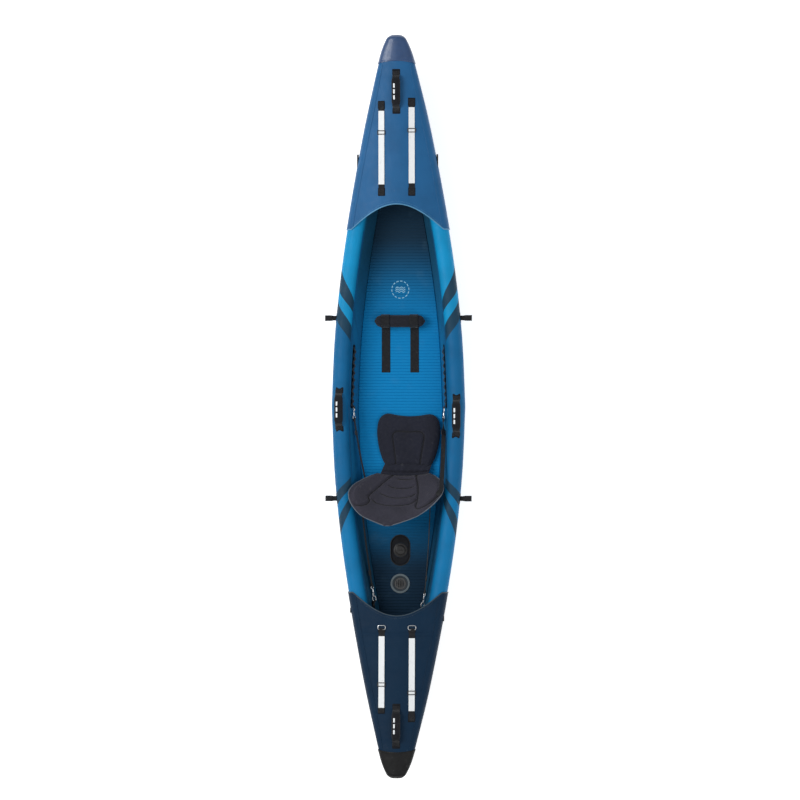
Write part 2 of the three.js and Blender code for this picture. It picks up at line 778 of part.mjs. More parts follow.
function stay(hook, anchor, side) {
  const from = new THREE.Vector3(-eyeReach, 0, 0).applyMatrix4(hook.matrixWorld);
  const across = new THREE.Vector3(0, 1, 0).transformDirection(hook.matrixWorld);
  const sag = new THREE.Vector3(side * 4, 0, -6);
  const points = range(0, 1, 8).map((t) => from.clone().lerp(anchor, t).addScaledVector(sag, Math.sin(Math.PI * t)));
  return strap(points, across, stayWidth, 2);
}

for (const [name, side] of sides) {
  const front = onWall(side, frontHookY, frontHookZ, hookLift);
  add(`${name}_front_hook`, snapHook(), colours.steel, front, metal);
  add(`${name}_front_hook_gate`, hookGate(), colours.steel, front, metal);
  const wing = onBackrest(...frontAnchors[name]);
  add(`${name}_front_stay`, stay(front, wing, side), colours.webbing);

  const rear = onWall(side, rearHookY[name], rearHookZ, hookLift);
  rear.rotateZ(Math.PI);
  rear.updateMatrixWorld();
  add(`${name}_rear_hook`, snapHook(), colours.steel, rear, metal);
  add(`${name}_rear_hook_gate`, hookGate(), colours.steel, rear, metal);
  const back = onBackrest(...rearAnchors[name]);
  add(`${name}_rear_stay`, stay(rear, back, side), colours.webbing);
  add(`${name}_rear_d_ring`, dRing(), colours.steel, rear, metal);
}

const railZ = 212;
const railStart = 4;
const railEnd = 346;
const railLift = 3;

// A webbing rail along the inner wall that the front hooks clip to.
function sideRail(side) {
  const points = range(railStart, railEnd, 8).map((y) => {
    const { tilt } = chamberSection(y);
    const x = side * (innerWallX(y, railZ) - railLift * Math.cos(tilt));
    return new THREE.Vector3(x, y, railZ + railLift * Math.sin(tilt));
  });
  const { tilt } = chamberSection(0);
  return strap(points, new THREE.Vector3(side * Math.sin(tilt), 0, Math.cos(tilt)), stayWidth, 2);
}

for (const [name, side] of sides) {
  add(`${name}_side_rail`, sideRail(side), colours.webbing);
}

// ---- Valves and drain -----------------------------------------------------------------------------

const valveFlange = 42;
const valvePlate = -34;

function valveBody() {
  return lathe([
    [23, 5], [39, 5], [valveFlange, 3], [valveFlange, gap], [27, gap], [27, valvePlate - 4],
    [6, valvePlate - 4], [6, valvePlate], [23, valvePlate], [23, 5],
  ]);
}

function valvePin() {
  const disc = valvePlate - 4 - gap;
  return lathe([
    [0, -12], [7, -12], [8, -13], [8, -18], [4.5, -18], [4.5, disc], [14, disc], [14, disc - 3.5], [0, disc - 3.5],
  ], 12);
}

function valveCap() {
  return lathe([[0, 16], [24, 16], [29, 13], [30, 5 + gap], [0, 5 + gap]]);
}

function addValve(name, group) {
  add(`${name}_valve_body`, valveBody(), colours.valveGrey, group);
  add(`${name}_valve_pin`, valvePin(), colours.valveGrey, group);
  add(`${name}_valve_cap`, valveCap(), colours.valveGrey, group);
}

addValve('floor', onCentreline(valveY, floorTop));
for (const [name, side] of sides) {
  addValve(name, onWall(side, sideValveY, (sheer(sideValveY) + keel(sideValveY)) / 2, 0));
}

const drainTube = 21;

function drainFlange() {
  const deepest = -padThickness - gap - chamberThickness + 4;
  return lathe([
    [drainTube, deepest], [25, deepest], [25, -7.6], [36.6, -7.6], [36.6, gap], [57.5, gap], [56, 3.2],
    [38, 3.5], [35.5, 2], [35.5, -3.5], [drainTube, -3.5], [drainTube, deepest],
  ]);
}

function drainStrainer() {
  const disc = post(34, -3.1, 0.4, 0, 0);
  const slots = range(-20, 20, 4).map((x) => {
    const length = 2 * Math.sqrt(27 ** 2 - x ** 2);
    return new THREE.BoxGeometry(5, length, 20).translate(x, 0, 0);
  });
  return cut(disc, ...slots);
}

function drainPlug() {
  const top = -78;
  return lathe([[0, top], [20.4, top], [20.4, top - 22], [9, top - 22], [9, top - 12], [0, top - 12]]);
}

const drain = onCentreline(drainY, padTop, 0.6);
add('drain_flange', drainFlange(), colours.drainGrey, drain);
add('drain_strainer', drainStrainer(), colours.valveGrey, drain);
add('drain_plug', drainPlug(), colours.capBlack, drain);

// ---- Fin box under the stern ------------------------------------------------------------------------

const finBoxHeight = 18;

function finBox() {
  const block = new THREE.BoxGeometry(46, 200, finBoxHeight).translate(0, 0, -finBoxHeight / 2);
  const slot = new THREE.BoxGeometry(9, 160, finBoxHeight).translate(0, 0, -finBoxHeight / 2 - 3);
  return cut(block, slot);
}

add('fin_box', finBox(), colours.capBlack, onCentreline(finBoxY, keel, -2));

export default kayak;
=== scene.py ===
"""Inflatable drop-stitch kayak, seen from above.

Metres. +Y is the bow, +X starboard, +Z up, and the flat of the bottom lies at z = 0.
The hull lines at the top are the design's own, so every skin, seam and fitting follows one shape.
"""
import json
import math

import bmesh
import bpy
import numpy as np
from mathutils.bvhtree import BVHTree
from mathutils import Matrix, Vector, noise

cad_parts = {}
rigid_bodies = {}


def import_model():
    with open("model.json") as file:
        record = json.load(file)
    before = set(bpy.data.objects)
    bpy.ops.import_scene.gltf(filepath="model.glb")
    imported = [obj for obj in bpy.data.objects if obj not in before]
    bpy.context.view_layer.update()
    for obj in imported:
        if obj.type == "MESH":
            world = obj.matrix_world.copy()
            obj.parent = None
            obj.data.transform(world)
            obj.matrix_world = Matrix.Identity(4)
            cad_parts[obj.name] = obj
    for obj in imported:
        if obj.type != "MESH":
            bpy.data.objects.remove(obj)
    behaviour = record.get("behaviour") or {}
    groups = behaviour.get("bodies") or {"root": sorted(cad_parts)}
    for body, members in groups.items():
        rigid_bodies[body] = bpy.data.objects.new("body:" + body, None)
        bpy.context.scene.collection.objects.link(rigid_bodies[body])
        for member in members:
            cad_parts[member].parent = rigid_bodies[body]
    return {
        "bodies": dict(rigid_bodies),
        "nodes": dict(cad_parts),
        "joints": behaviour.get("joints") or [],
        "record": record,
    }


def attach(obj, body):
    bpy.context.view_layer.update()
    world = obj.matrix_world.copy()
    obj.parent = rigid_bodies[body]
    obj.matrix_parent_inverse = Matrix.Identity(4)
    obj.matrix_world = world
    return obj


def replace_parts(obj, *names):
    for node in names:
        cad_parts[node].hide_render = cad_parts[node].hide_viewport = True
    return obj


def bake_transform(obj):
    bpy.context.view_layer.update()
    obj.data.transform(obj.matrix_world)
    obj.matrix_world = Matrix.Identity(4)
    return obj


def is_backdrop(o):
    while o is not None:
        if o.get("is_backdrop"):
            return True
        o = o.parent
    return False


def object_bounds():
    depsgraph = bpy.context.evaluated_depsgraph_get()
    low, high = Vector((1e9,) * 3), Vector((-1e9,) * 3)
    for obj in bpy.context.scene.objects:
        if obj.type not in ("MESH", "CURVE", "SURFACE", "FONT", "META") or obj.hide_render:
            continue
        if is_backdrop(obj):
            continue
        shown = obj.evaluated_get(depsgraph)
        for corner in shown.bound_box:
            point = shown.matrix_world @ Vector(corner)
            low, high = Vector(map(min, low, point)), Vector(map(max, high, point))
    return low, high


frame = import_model()
cad_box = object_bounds()
SIDES = (("port", -1), ("starboard", 1))

# ---- Hull lines -------------------------------------------------------------------------

HALF_LENGTH = 2.150
BEAM_STATIONS = [
    (0, 0.390), (0.400, 0.372), (0.800, 0.330), (1.200, 0.267),
    (1.600, 0.191), (1.850, 0.134), (2.050, 0.082), (2.150, 0.036),
]
SHEER_MID, SHEER_RISE = 0.300, 0.130
ROCKER_START, ROCKER_RISE = 0.600, 0.120
STEM_START, STEM_RISE = 1.960, 0.225
CURVE_POWER = 2.2
CHAMBER = 0.100
FLARE = math.radians(15)
KEEL_GAP = 0.0015
CHAMBER_END = 2.040
FLOOR_END = 1.690
PAD_END = 1.440
PAD_THICKNESS = 0.008
GAP = 0.0004
DECK_GAP = 0.0022
DECK_THICKNESS = 0.0025
DECK_END = 2.030
BOW = {"name": "bow", "sign": 1, "crest": 1.173, "drop": 0.144, "slope": 25}
STERN = {"name": "stern", "sign": -1, "crest": 1.213, "drop": 0.134, "slope": 17}
TIP_SLOPE = 16
ARCH_FOOT_SHARE = 0.6
CAP_START = 1.984


def spread(start, stop, steps):
    """steps + 1 evenly spaced values from start to stop."""
    return [start + (stop - start) * k / steps for k in range(steps + 1)]


def through(points, per_span=24):
    """Points on a smooth curve through the given ones."""
    points = [np.array(p, float) for p in points]
    ends = [points[0], *points, points[-1]]
    curve = []
    for k in range(len(points) - 1):
        before, a, b, after = ends[k:k + 4]
        va, vb = (b - before) / 2, (after - a) / 2
        for t in spread(0, 1, per_span)[:-1]:
            cubic = (2 * a - 2 * b + va + vb) * t ** 3 + (3 * b - 3 * a - 2 * va - vb) * t ** 2
            curve.append(cubic + va * t + a)
    return [*curve, points[-1]]


BEAM_TABLE = np.array(through(BEAM_STATIONS))


def clamp(value, low=0.0, high=1.0):
    return max(low, min(high, value))


def lerp(a, b, t):
    return a + (b - a) * t


def half_beam(y):
    return float(np.interp(abs(y), BEAM_TABLE[:, 0], BEAM_TABLE[:, 1]))


def sheer(y):
    return SHEER_MID + SHEER_RISE * (abs(y) / HALF_LENGTH) ** CURVE_POWER


def keel(y):
    reach = abs(y)
    rocker = max(0.0, (reach - ROCKER_START) / (HALF_LENGTH - ROCKER_START)) ** CURVE_POWER
    stem = clamp((reach - STEM_START) / (HALF_LENGTH - STEM_START))
    return ROCKER_RISE * rocker + STEM_RISE * (1 - math.sqrt(1 - stem * stem))


def floor_top(y):
    return keel(y) + CHAMBER


def pad_top(y):
    return floor_top(y) + GAP + PAD_THICKNESS


class Section:
    """A side chamber's section at one station: two round edges joined by straight walls."""

    def __init__(self, y):
        self.y = y
        self.radius = min(CHAMBER / 2, 0.3 * half_beam(y))
        self.top_x = half_beam(y) - self.radius
        self.top_z = sheer(y) - self.radius
        self.bottom_z = keel(y) + self.radius
        flared = self.top_x - math.tan(FLARE) * (self.top_z - self.bottom_z)
        self.bottom_x = max(self.radius + KEEL_GAP, flared)
        self.tilt = math.atan2(self.top_x - self.bottom_x, self.top_z - self.bottom_z)
        self.wall = math.hypot(self.top_x - self.bottom_x, self.top_z - self.bottom_z)
        self.arc = math.pi * self.radius

    def at(self, girth, lift=0.0):
        """The point lift outside the skin, girth outward round it from the top of the inner wall."""
        out = self.radius + lift
        if girth < 0 or girth > self.arc:
            outer = girth > 0
            down = (girth - self.arc if outer else -girth) / self.wall
            x = lerp(self.top_x, self.bottom_x, down)
            z = lerp(self.top_z, self.bottom_z, down)
            face = 1 if outer else -1
            if down <= 1:
                return x + face * out * math.cos(self.tilt), z - face * out * math.sin(self.tilt)
            turn = (down - 1) * self.wall / self.radius
            angle = face * (math.pi / 2 + turn) + self.tilt
            return self.bottom_x + out * math.sin(angle), self.bottom_z + out * math.cos(angle)
        angle = girth / self.radius - math.pi / 2 + self.tilt
        return self.top_x + out * math.sin(angle), self.top_z + out * math.cos(angle)


def inner_wall_x(y, z):
    s = Section(y)
    return s.bottom_x + (z - s.bottom_z) * math.tan(s.tilt) - s.radius / math.cos(s.tilt)


class DeckLine:
    """Where a taut deck leaves the chambers' round tops at one station, and how it crowns."""

    def __init__(self, y, end):
        s = Section(y)
        along = clamp((abs(y) - end["crest"]) / (HALF_LENGTH - end["crest"]))
        self.slope = math.radians(lerp(end["slope"], TIP_SLOPE, along))
        self.wrap = s.radius + DECK_GAP
        self.top_x, self.top_z = s.top_x, s.top_z
        self.leave_x = s.top_x + self.wrap * math.sin(self.slope)
        self.leave_z = s.top_z + self.wrap * math.cos(self.slope)
        self.crown = self.leave_x * math.tan(self.slope) / 2

    def height(self, x):
        reach = abs(x)
        if reach < self.leave_x:
            return self.leave_z + self.crown * (1 - (reach / self.leave_x) ** 2)
        return self.top_z + math.sqrt(max(0.0, self.wrap ** 2 - (reach - self.top_x) ** 2))


def deck_height(x, y, end):
    return DeckLine(y, end).height(x)


def arch_y(x, end):
    """How far from midships a deck's cockpit edge lies, x off the centreline."""
    inner = half_beam(end["crest"] - end["drop"]) - CHAMBER
    foot = inner + ARCH_FOOT_SHARE * CHAMBER
    return end["crest"] - end["drop"] * min(1, abs(x) / foot) ** 2


PROBE = 0.040


def on_wall(side, y, z, lift=0.0):
    """The frame of a fitting on an inner wall: X along the wall to the bow, Z out of it."""
    tilt = Section(y).tilt
    taper = inner_wall_x(y + PROBE, z) - inner_wall_x(y - PROBE, z)
    forward = Vector((side * taper, 2 * PROBE, 0)).normalized()
    up = Vector((side * math.sin(tilt), 0, math.cos(tilt)))
    normal = (forward.cross(up) * -side).normalized()
    turn = Matrix((forward, normal.cross(forward), normal)).transposed().to_4x4()
    return Matrix.Translation(Vector((side * inner_wall_x(y, z), y, z)) + normal * lift) @ turn


def on_centreline(y, height, lift=0.0, x=0.0):
    """The frame of a fitting that lies along a surface of the given height."""
    slope = math.atan2(height(y + PROBE) - height(y - PROBE), 2 * PROBE)
    return Matrix.Translation((x, y, height(y) + lift)) @ Matrix.Rotation(slope, 4, "X")


# ---- Camera and light -------------------------------------------------------------------------


def add_object(name, data):
    """A new object in the scene that shows the given data."""
    made = bpy.data.objects.new(name, data)
    bpy.context.scene.collection.objects.link(made)
    return made


def make_camera():
    """Almost straight down, leaning 4.5 degrees to starboard, with a long lens."""
    lean = math.radians(4.5)
    distance = 24
    view_width = 4.656
    aim = Vector((0.009, 0.038, 0.250))
    data = bpy.data.cameras.new("camera")
    data.sensor_width = 36
    data.lens = data.sensor_width * distance / view_width
    data.clip_end = 100
    camera = add_object("camera", data)
    camera.location = aim + distance * Vector((math.sin(lean), 0, math.cos(lean)))
    camera.rotation_euler = (0, lean, 0)
    bpy.context.scene.camera = camera


def area_light(name, place, size, watts):
    """A soft white disc of light that faces the kayak."""
    data = bpy.data.lights.new(name, "AREA")
    data.shape = "DISK"
    data.size = size
    data.energy = watts
    light = add_object(name, data)
    light.location = place
    target = Vector((0, 0, 0.2))
    light.rotation_euler = (target - Vector(place)).to_track_quat("-Z", "Y").to_euler()


def make_light():
    """A key light over the port side, a weaker fill over the starboard quarter, and an even sky."""
    area_light("key", (-4.2, 1.4, 6.2), 4.5, 290)
    area_light("fill", (3.5, -2.5, 6.5), 5.0, 90)
    world = bpy.data.worlds.new("studio")
    bpy.context.scene.world = world
    world.use_nodes = True
    sky = world.node_tree.nodes["Background"].inputs
    sky["Color"].default_value = (0.97, 0.99, 1.0, 1)
    sky["Strength"].default_value = 0.52
    bpy.context.scene.view_settings.view_transform = "Standard"


make_camera()
make_light()

# ---- Materials ------------------------------------------------------------------------------


def rgb(red, green, blue):
    """A display colour from 0 to 255 as the linear colour that a shader takes."""
    linear = [c / 12.92 if c <= 0.04045 else ((c + 0.055) / 1.055) ** 2.4
              for c in (red / 255, green / 255, blue / 255)]
    return (*linear, 1.0)


class Paint:
    """One procedural material, with short calls for its nodes."""

    def __init__(self, name, slot, **constants):
        self.material = bpy.data.materials.new(name)
        self.material.use_nodes = True
        self.material["slot"] = slot
        self.tree = self.material.node_tree
        self.shader = self.tree.nodes["Principled BSDF"]
        for socket, value in constants.items():
            self.shader.inputs[socket.replace("_", " ")].default_value = value
        self.place = self.node("TexCoord").outputs["Object"]

    def feed(self, socket, value):
        if isinstance(value, bpy.types.NodeSocket):
            self.tree.links.new(value, socket)
        else:
            socket.default_value = value

    def node(self, kind, inputs=None, **settings):
        made = self.tree.nodes.new("ShaderNode" + kind)
        for key, value in settings.items():
            setattr(made, key, value)
        for socket, value in (inputs or {}).items():
            self.feed(made.inputs[socket], value)
        return made

    def axes(self, vector=None):
        return self.node("SeparateXYZ", {0: vector or self.place}).outputs

    def uv(self):
        return self.node("UVMap", uv_map="flat").outputs["UV"]

    def calc(self, operation, a, b=0.0, clamped=False):
        return self.node("Math", {0: a, 1: b}, operation=operation, use_clamp=clamped).outputs[0]

    def ramp(self, value, low, high, to_low=0.0, to_high=1.0):
        sockets = {"Value": value, "From Min": low, "From Max": high, "To Min": to_low, "To Max": to_high}
        return self.node("MapRange", sockets, interpolation_type="SMOOTHSTEP").outputs[0]

    def mix(self, share, a, b):
        return self.node("Mix", {0: share, 6: a, 7: b}, data_type="RGBA").outputs[2]

    def noise(self, scale, detail=3.0, vector=None):
        sockets = {"Vector": vector or self.place, "Scale": scale, "Detail": detail}
        return self.node("TexNoise", sockets).outputs["Fac"]

    def stretched(self, x, y, z):
        """The place scaled along each axis, for grain that runs one way."""
        sockets = {0: self.place, 1: (x, y, z)}
        return self.node("VectorMath", sockets, operation="MULTIPLY").outputs[0]

    def weave(self, pitch, vector=None):
        """Height of a plain weave with that thread pitch, from -1 to 1."""
        x, y, _ = self.axes(vector)
        turns = 2 * math.pi / pitch
        along = self.calc("SINE", self.calc("MULTIPLY", x, turns))
        across = self.calc("SINE", self.calc("MULTIPLY", y, turns))
        return self.calc("MULTIPLY", along, across)

    def bump(self, height, distance, strength, under=None):
        sockets = {"Height": height, "Distance": distance, "Strength": strength}
        if under is not None:
            sockets["Normal"] = under
        return self.node("Bump", sockets).outputs["Normal"]

    def finish(self, colour, roughness, normal=None):
        self.feed(self.shader.inputs["Base Color"], colour)
        self.feed(self.shader.inputs["Roughness"], roughness)
        if normal is not None:
            self.feed(self.shader.inputs["Normal"], normal)
        return self.material


def coated_cloth(paint, colour, shine=0.50):
    """Coated polyester: a fine weave under a satin skin, faint mottling and pale rubbed spots."""
    shaded = paint.mix(paint.ramp(paint.noise(7, 4), 0.35, 0.7, 0.0, 0.14), colour, rgb(8, 22, 40))
    rubbed = paint.calc("MULTIPLY", paint.ramp(paint.noise(38, 6), 0.66, 0.80), 0.06)
    tinted = paint.mix(rubbed, shaded, rgb(120, 150, 165))
    rough = paint.ramp(paint.noise(24, 5), 0.3, 0.75, shine - 0.06, shine + 0.12)
    weave = paint.bump(paint.weave(0.0021), 0.00022, 0.45)
    dimples = paint.bump(paint.noise(115, 1), 0.0011, 0.30, weave)
    swell = paint.bump(paint.noise(9, 2), 0.006, 0.22, dimples)
    return paint.finish(tinted, rough, swell)


BRIGHT = rgb(8, 144, 198)
BRIGHT_AFT = rgb(4, 116, 170)
MIDDLE = rgb(8, 98, 148)
BAND = rgb(26, 62, 84)
NAVY = rgb(16, 44, 66)
# The bow deck's blue: the decks' one cloth painted lighter, a painted reflection off the bow deck.
BOW_DECK_LIT_BLUE = rgb(32, 94, 144)
# Painted shade on the inner wall: a darker blue laid over the printed bands, and darker still towards both
# ends, where the decks shade it.
SHADED_WALL_BLUE = rgb(28, 112, 162)
DECK_SHADOW_WALL_BLUE = rgb(30, 72, 98)
# Edges of the slanted bands: station at the top of the inner wall, and at the outer shoulder.
FORE_BANDS = [(0.600, 0.845), (0.536, 0.708), (0.453, 0.648), (0.366, 0.548)]
AFT_BANDS = [(-0.400, -0.535), (-0.448, -0.610), (-0.480, -0.702), (-0.533, -0.807)]
EDGE_SHARPNESS = 900
MOTIF_Y = 0.684


def hull_paint():
    """Bright blue ends, a darker middle, and two slanted bands where each pair meets."""
    paint = Paint("hull_fabric", "side_fabric", Specular_IOR_Level=0.18)
    girth, station, _ = paint.axes(paint.uv())
    shoulder = math.pi * CHAMBER / 2

    def ahead_of(edge):
        slope = (edge[1] - edge[0]) / shoulder
        line = paint.calc("ADD", paint.calc("MULTIPLY", girth, slope), edge[0])
        ahead = paint.calc("SUBTRACT", station, line)
        return paint.calc("MULTIPLY", ahead, EDGE_SHARPNESS, clamped=True)

    colour = BRIGHT_AFT
    for edge, tone in zip([*AFT_BANDS[::-1], *FORE_BANDS[::-1]],
                          [BAND, BRIGHT_AFT, BAND, MIDDLE, BAND, BRIGHT, BAND, BRIGHT]):
        colour = paint.mix(ahead_of(edge), colour, tone)
    # Painted shade: the inner wall's blue darkens towards both ends, under the decks.
    far = paint.ramp(paint.calc("ABSOLUTE", station), 0.25, 0.95)
    wall_shade_tone = paint.mix(far, SHADED_WALL_BLUE, DECK_SHADOW_WALL_BLUE)
    colour = paint.mix(paint.ramp(girth, 0.030, -0.030, 0.0, 0.9), colour, wall_shade_tone)
    below = paint.ramp(paint.axes()[2], 0.028, 0.030)
    side_tone = paint.mix(below, NAVY, colour)
    # Under each deck the outer wall takes that deck's colour; at the bow this is the lighter copy that
    # carries the painted reflection.
    for end, tone in ((BOW, BOW_DECK_LIT_BLUE), (STERN, NAVY)):
        reach = paint.calc("MULTIPLY", station, end["sign"])
        edge = end["crest"] - end["drop"]
        past_edge = paint.calc("SUBTRACT", reach, edge)
        under_deck = paint.calc("MULTIPLY", past_edge, EDGE_SHARPNESS, clamped=True)
        outside = paint.ramp(girth, 0.09, 0.092)
        side_tone = paint.mix(paint.calc("MULTIPLY", under_deck, outside), side_tone, tone)
    return coated_cloth(paint, side_tone)


def plain_cloth(name, slot, tone, shine, **constants):
    """Coated cloth in one colour."""
    return coated_cloth(Paint(name, slot, **constants), tone, shine)


def pad_paint():
    """Closed-cell foam: bright amidships, darker towards both ends as painted shade under the decks and
    behind the seat, with a ring motif.
    """
    paint = Paint("foam_pad", "pad_foam", Specular_IOR_Level=0.12)
    x, y, _ = paint.axes()
    # Painted shade: the pad darkens towards the bow under its deck, and towards the stern behind the seat and
    # under the stern deck.
    fore = paint.ramp(y, 0.44, 1.02)
    aft = paint.ramp(y, -0.42, -0.98)
    tone = paint.mix(fore, rgb(4, 128, 190), rgb(20, 48, 68))
    tone = paint.mix(aft, tone, rgb(14, 40, 60))
    grain = paint.noise(420, 2)
    tone = paint.mix(paint.ramp(grain, 0.35, 0.75, 0.0, 0.16), tone, rgb(6, 40, 66))
    rubbed = paint.calc("MULTIPLY", paint.ramp(paint.noise(11, 5), 0.55, 0.8), 0.06)
    tone = paint.mix(rubbed, tone, rgb(110, 150, 170))
    tone = paint.mix(ring_motif(paint, x, y), tone, rgb(150, 200, 222))
    rough = paint.ramp(grain, 0.3, 0.7, 0.62, 0.78)
    return paint.finish(tone, rough, paint.bump(grain, 0.0006, 0.35))


def ring_motif(paint, x, y):
    """A printed ring of dashes round three small waves."""
    up = paint.calc("SUBTRACT", y, MOTIF_Y)
    radius = paint.calc("SQRT", paint.calc("ADD", paint.calc("POWER", x, 2), paint.calc("POWER", up, 2)))
    half_line = 0.0022
    off_ring = paint.calc("ABSOLUTE", paint.calc("SUBTRACT", radius, 0.050))
    on_ring = paint.calc("LESS_THAN", off_ring, half_line)
    angle = paint.calc("ARCTAN2", up, x)
    dash = paint.calc("GREATER_THAN", paint.calc("SINE", paint.calc("MULTIPLY", angle, 14)), -0.35)
    motif = paint.calc("MULTIPLY", on_ring, dash)
    ripple = paint.calc("MULTIPLY", paint.calc("SINE", paint.calc("MULTIPLY", x, 260)), 0.0035)
    inside = paint.calc("LESS_THAN", radius, 0.030)
    for level in (-0.012, 0.0, 0.012):
        off = paint.calc("ABSOLUTE", paint.calc("SUBTRACT", paint.calc("SUBTRACT", up, ripple), level))
        line = paint.calc("MULTIPLY", paint.calc("LESS_THAN", off, half_line), inside)
        motif = paint.calc("MAXIMUM", motif, line)
    return motif


def moulded(name, slot, tone, shine, grain=900, worn=rgb(120, 122, 126), **constants):
    """Moulded plastic or rubber: fine grain, uneven gloss and paler scuffs."""
    paint = Paint(name, slot, **constants)
    cloud = paint.noise(16, 5)
    scuffs = paint.calc("MULTIPLY", paint.ramp(paint.noise(60, 8), 0.64, 0.78), 0.18)
    colour = paint.mix(paint.ramp(cloud, 0.3, 0.8, 0.0, 0.22), tone, rgb(8, 9, 12))
    rough = paint.ramp(paint.noise(45, 5), 0.3, 0.8, shine - 0.05, shine + 0.18)
    scuffed = paint.mix(scuffs, colour, worn)
    return paint.finish(scuffed, rough, paint.bump(paint.noise(grain, 2), 0.0003, 0.3))


HULL = hull_paint()
BOTTOM = plain_cloth("bottom_fabric", "floor_fabric", NAVY, 0.45, Specular_IOR_Level=0.25)
PAD = pad_paint()
# The two decks are one cloth in two copies: the bow's lighter blue is a painted reflection, the stern's
# darker navy is painted shade.
BOW_CLOTH_LIT = plain_cloth("bow_deck_fabric", "bow_deck_fabric", BOW_DECK_LIT_BLUE, 0.42, Specular_IOR_Level=0.2)
STERN_CLOTH_SHADED = plain_cloth("stern_deck_fabric", "stern_deck_fabric", rgb(10, 40, 64), 0.48,
                          Specular_IOR_Level=0.12)
BOW_CAP = moulded("bow_cap_rubber", "tip_cap", rgb(40, 72, 116), 0.34, Coat_Weight=0.25)
STERN_CAP = moulded("stern_cap_rubber", "tip_cap", rgb(12, 12, 13), 0.50, Specular_IOR_Level=0.25)

# ---- Mesh helpers -----------------------------------------------------------------------------


def tidy(mesh, crease=38):
    """Faces out, smooth shading, and a sharp line at every edge folded by more than crease degrees."""
    work = bmesh.new()
    work.from_mesh(mesh)
    bmesh.ops.recalc_face_normals(work, faces=work.faces)
    for face in work.faces:
        face.smooth = True
    for edge in work.edges:
        edge.smooth = len(edge.link_faces) == 2 and edge.calc_face_angle() < math.radians(crease)
    work.to_mesh(mesh)
    work.free()


def make(name, points, faces, material, body="hull", uvs=None, crease=38):
    """A piece from points and faces, riding on a body. uvs holds one (u, v) for each face corner."""
    mesh = bpy.data.meshes.new(name)
    mesh.from_pydata([tuple(p) for p in points], [], faces)
    if uvs is not None:
        layer = mesh.uv_layers.new(name="flat")
        layer.data.foreach_set("uv", np.array(uvs, np.float32).ravel())
    tidy(mesh, crease)
    piece = add_object(name, mesh)
    mesh.materials.append(material)
    if body:
        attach(piece, body)
    return piece


def loft(name, rings, material, us=None, vs=None, **options):
    """A closed body through rings of points. us has one value for each column and one more, vs one a ring."""
    count = len(rings[0])
    us = us or spread(0, 1, count)
    vs = vs or spread(0, 1, len(rings) - 1)
    faces, uvs = [], []
    for i in range(len(rings) - 1):
        for j in range(count):
            k = (j + 1) % count
            faces.append((i * count + j, i * count + k, (i + 1) * count + k, (i + 1) * count + j))
            uvs += [(us[j], vs[i]), (us[j + 1], vs[i]), (us[j + 1], vs[i + 1]), (us[j], vs[i + 1])]
    for first, row in ((0, 0), ((len(rings) - 1) * count, -1)):
        faces.append(tuple(range(first, first + count)))
        uvs += [(us[j], vs[row]) for j in range(count)]
    return make(name, [p for ring in rings for p in ring], faces, material, uvs=uvs, **options)


def sheet(name, top, bottom, material, us=None, vs=None, **options):
    """A closed sheet between two matching grids of points."""
    rows, columns = len(top), len(top[0])
    us = us or [[0.0] * columns] * rows
    vs = vs or [[0.0] * columns] * rows
    under = rows * columns
    faces, uvs = [], []

    def quad(corners):
        faces.append(tuple(i * columns + j + under * low for i, j, low in corners))
        uvs.extend((us[i][j], vs[i][j]) for i, j, _ in corners)

    for i in range(rows - 1):
        for j in range(columns - 1):
            for low in (0, 1):
                quad([(i, j, low), (i, j + 1, low), (i + 1, j + 1, low), (i + 1, j, low)])
        for j in (0, columns - 1):
            quad([(i, j, 0), (i + 1, j, 0), (i + 1, j, 1), (i, j, 1)])
    for j in range(columns - 1):
        for i in (0, rows - 1):
            quad([(i, j, 0), (i, j + 1, 0), (i, j + 1, 1), (i, j, 1)])
    points = [p for grid in (top, bottom) for row in grid for p in row]
    return make(name, points, faces, material, uvs=uvs, **options)


def apply_modifiers(piece):
    """The piece takes the mesh that its modifiers make, and loses them."""
    graph = bpy.context.evaluated_depsgraph_get()
    mesh = bpy.data.meshes.new_from_object(piece.evaluated_get(graph))
    piece.modifiers.clear()
    piece.data = mesh


def prism(outline, low, high, matrix):
    """A plain tool for cutting: an outline in XY from low to high, never shown."""
    count = len(outline)
    mesh = bpy.data.meshes.new("tool")
    points = [(x, y, z) for z in (low, high) for x, y in outline]
    faces = [tuple(range(count)), tuple(range(count, 2 * count))]
    faces += [(j, (j + 1) % count, count + (j + 1) % count, count + j) for j in range(count)]
    mesh.from_pydata(points, [], faces)
    mesh.transform(matrix)
    tidy(mesh)
    return add_object("tool", mesh)


def circle(radius, count=48):
    return [(radius * math.cos(a), radius * math.sin(a)) for a in spread(0, 2 * math.pi, count)[:-1]]


def cut(piece, *tools):
    """Tools are cut from the piece and removed."""
    for tool in tools:
        modifier = piece.modifiers.new("cut", "BOOLEAN")
        modifier.operation = "DIFFERENCE"
        modifier.solver = "EXACT"
        modifier.object = tool
    apply_modifiers(piece)
    for tool in tools:
        bpy.data.objects.remove(tool)
    tidy(piece.data)


# ---- Hull skins -------------------------------------------------------------------------------

VALVE_POCKET = 0.0275
VALVE_DEPTH = 0.054
SIDE_VALVE_Y = -1.330
FLOOR_VALVE_Y = -0.841
DRAIN_Y = -1.036
DRAIN_BORE = 0.0256


def side_valve_frame(side):
    return on_wall(side, SIDE_VALVE_Y, (sheer(SIDE_VALVE_Y) + keel(SIDE_VALVE_Y)) / 2)


def skin_girths(s):
    """Girths of the points round a side chamber's skin, from the inner bottom edge round to the outer one."""
    return [
        *spread(-s.wall - s.arc / 2, -s.wall, 8)[:-1], *spread(-s.wall, 0, 8)[:-1],
        *spread(0, s.arc, 20)[:-1], *spread(s.arc, s.arc + s.wall, 10)[:-1],
        *spread(s.arc + s.wall, 1.5 * s.arc + s.wall, 8),
    ]


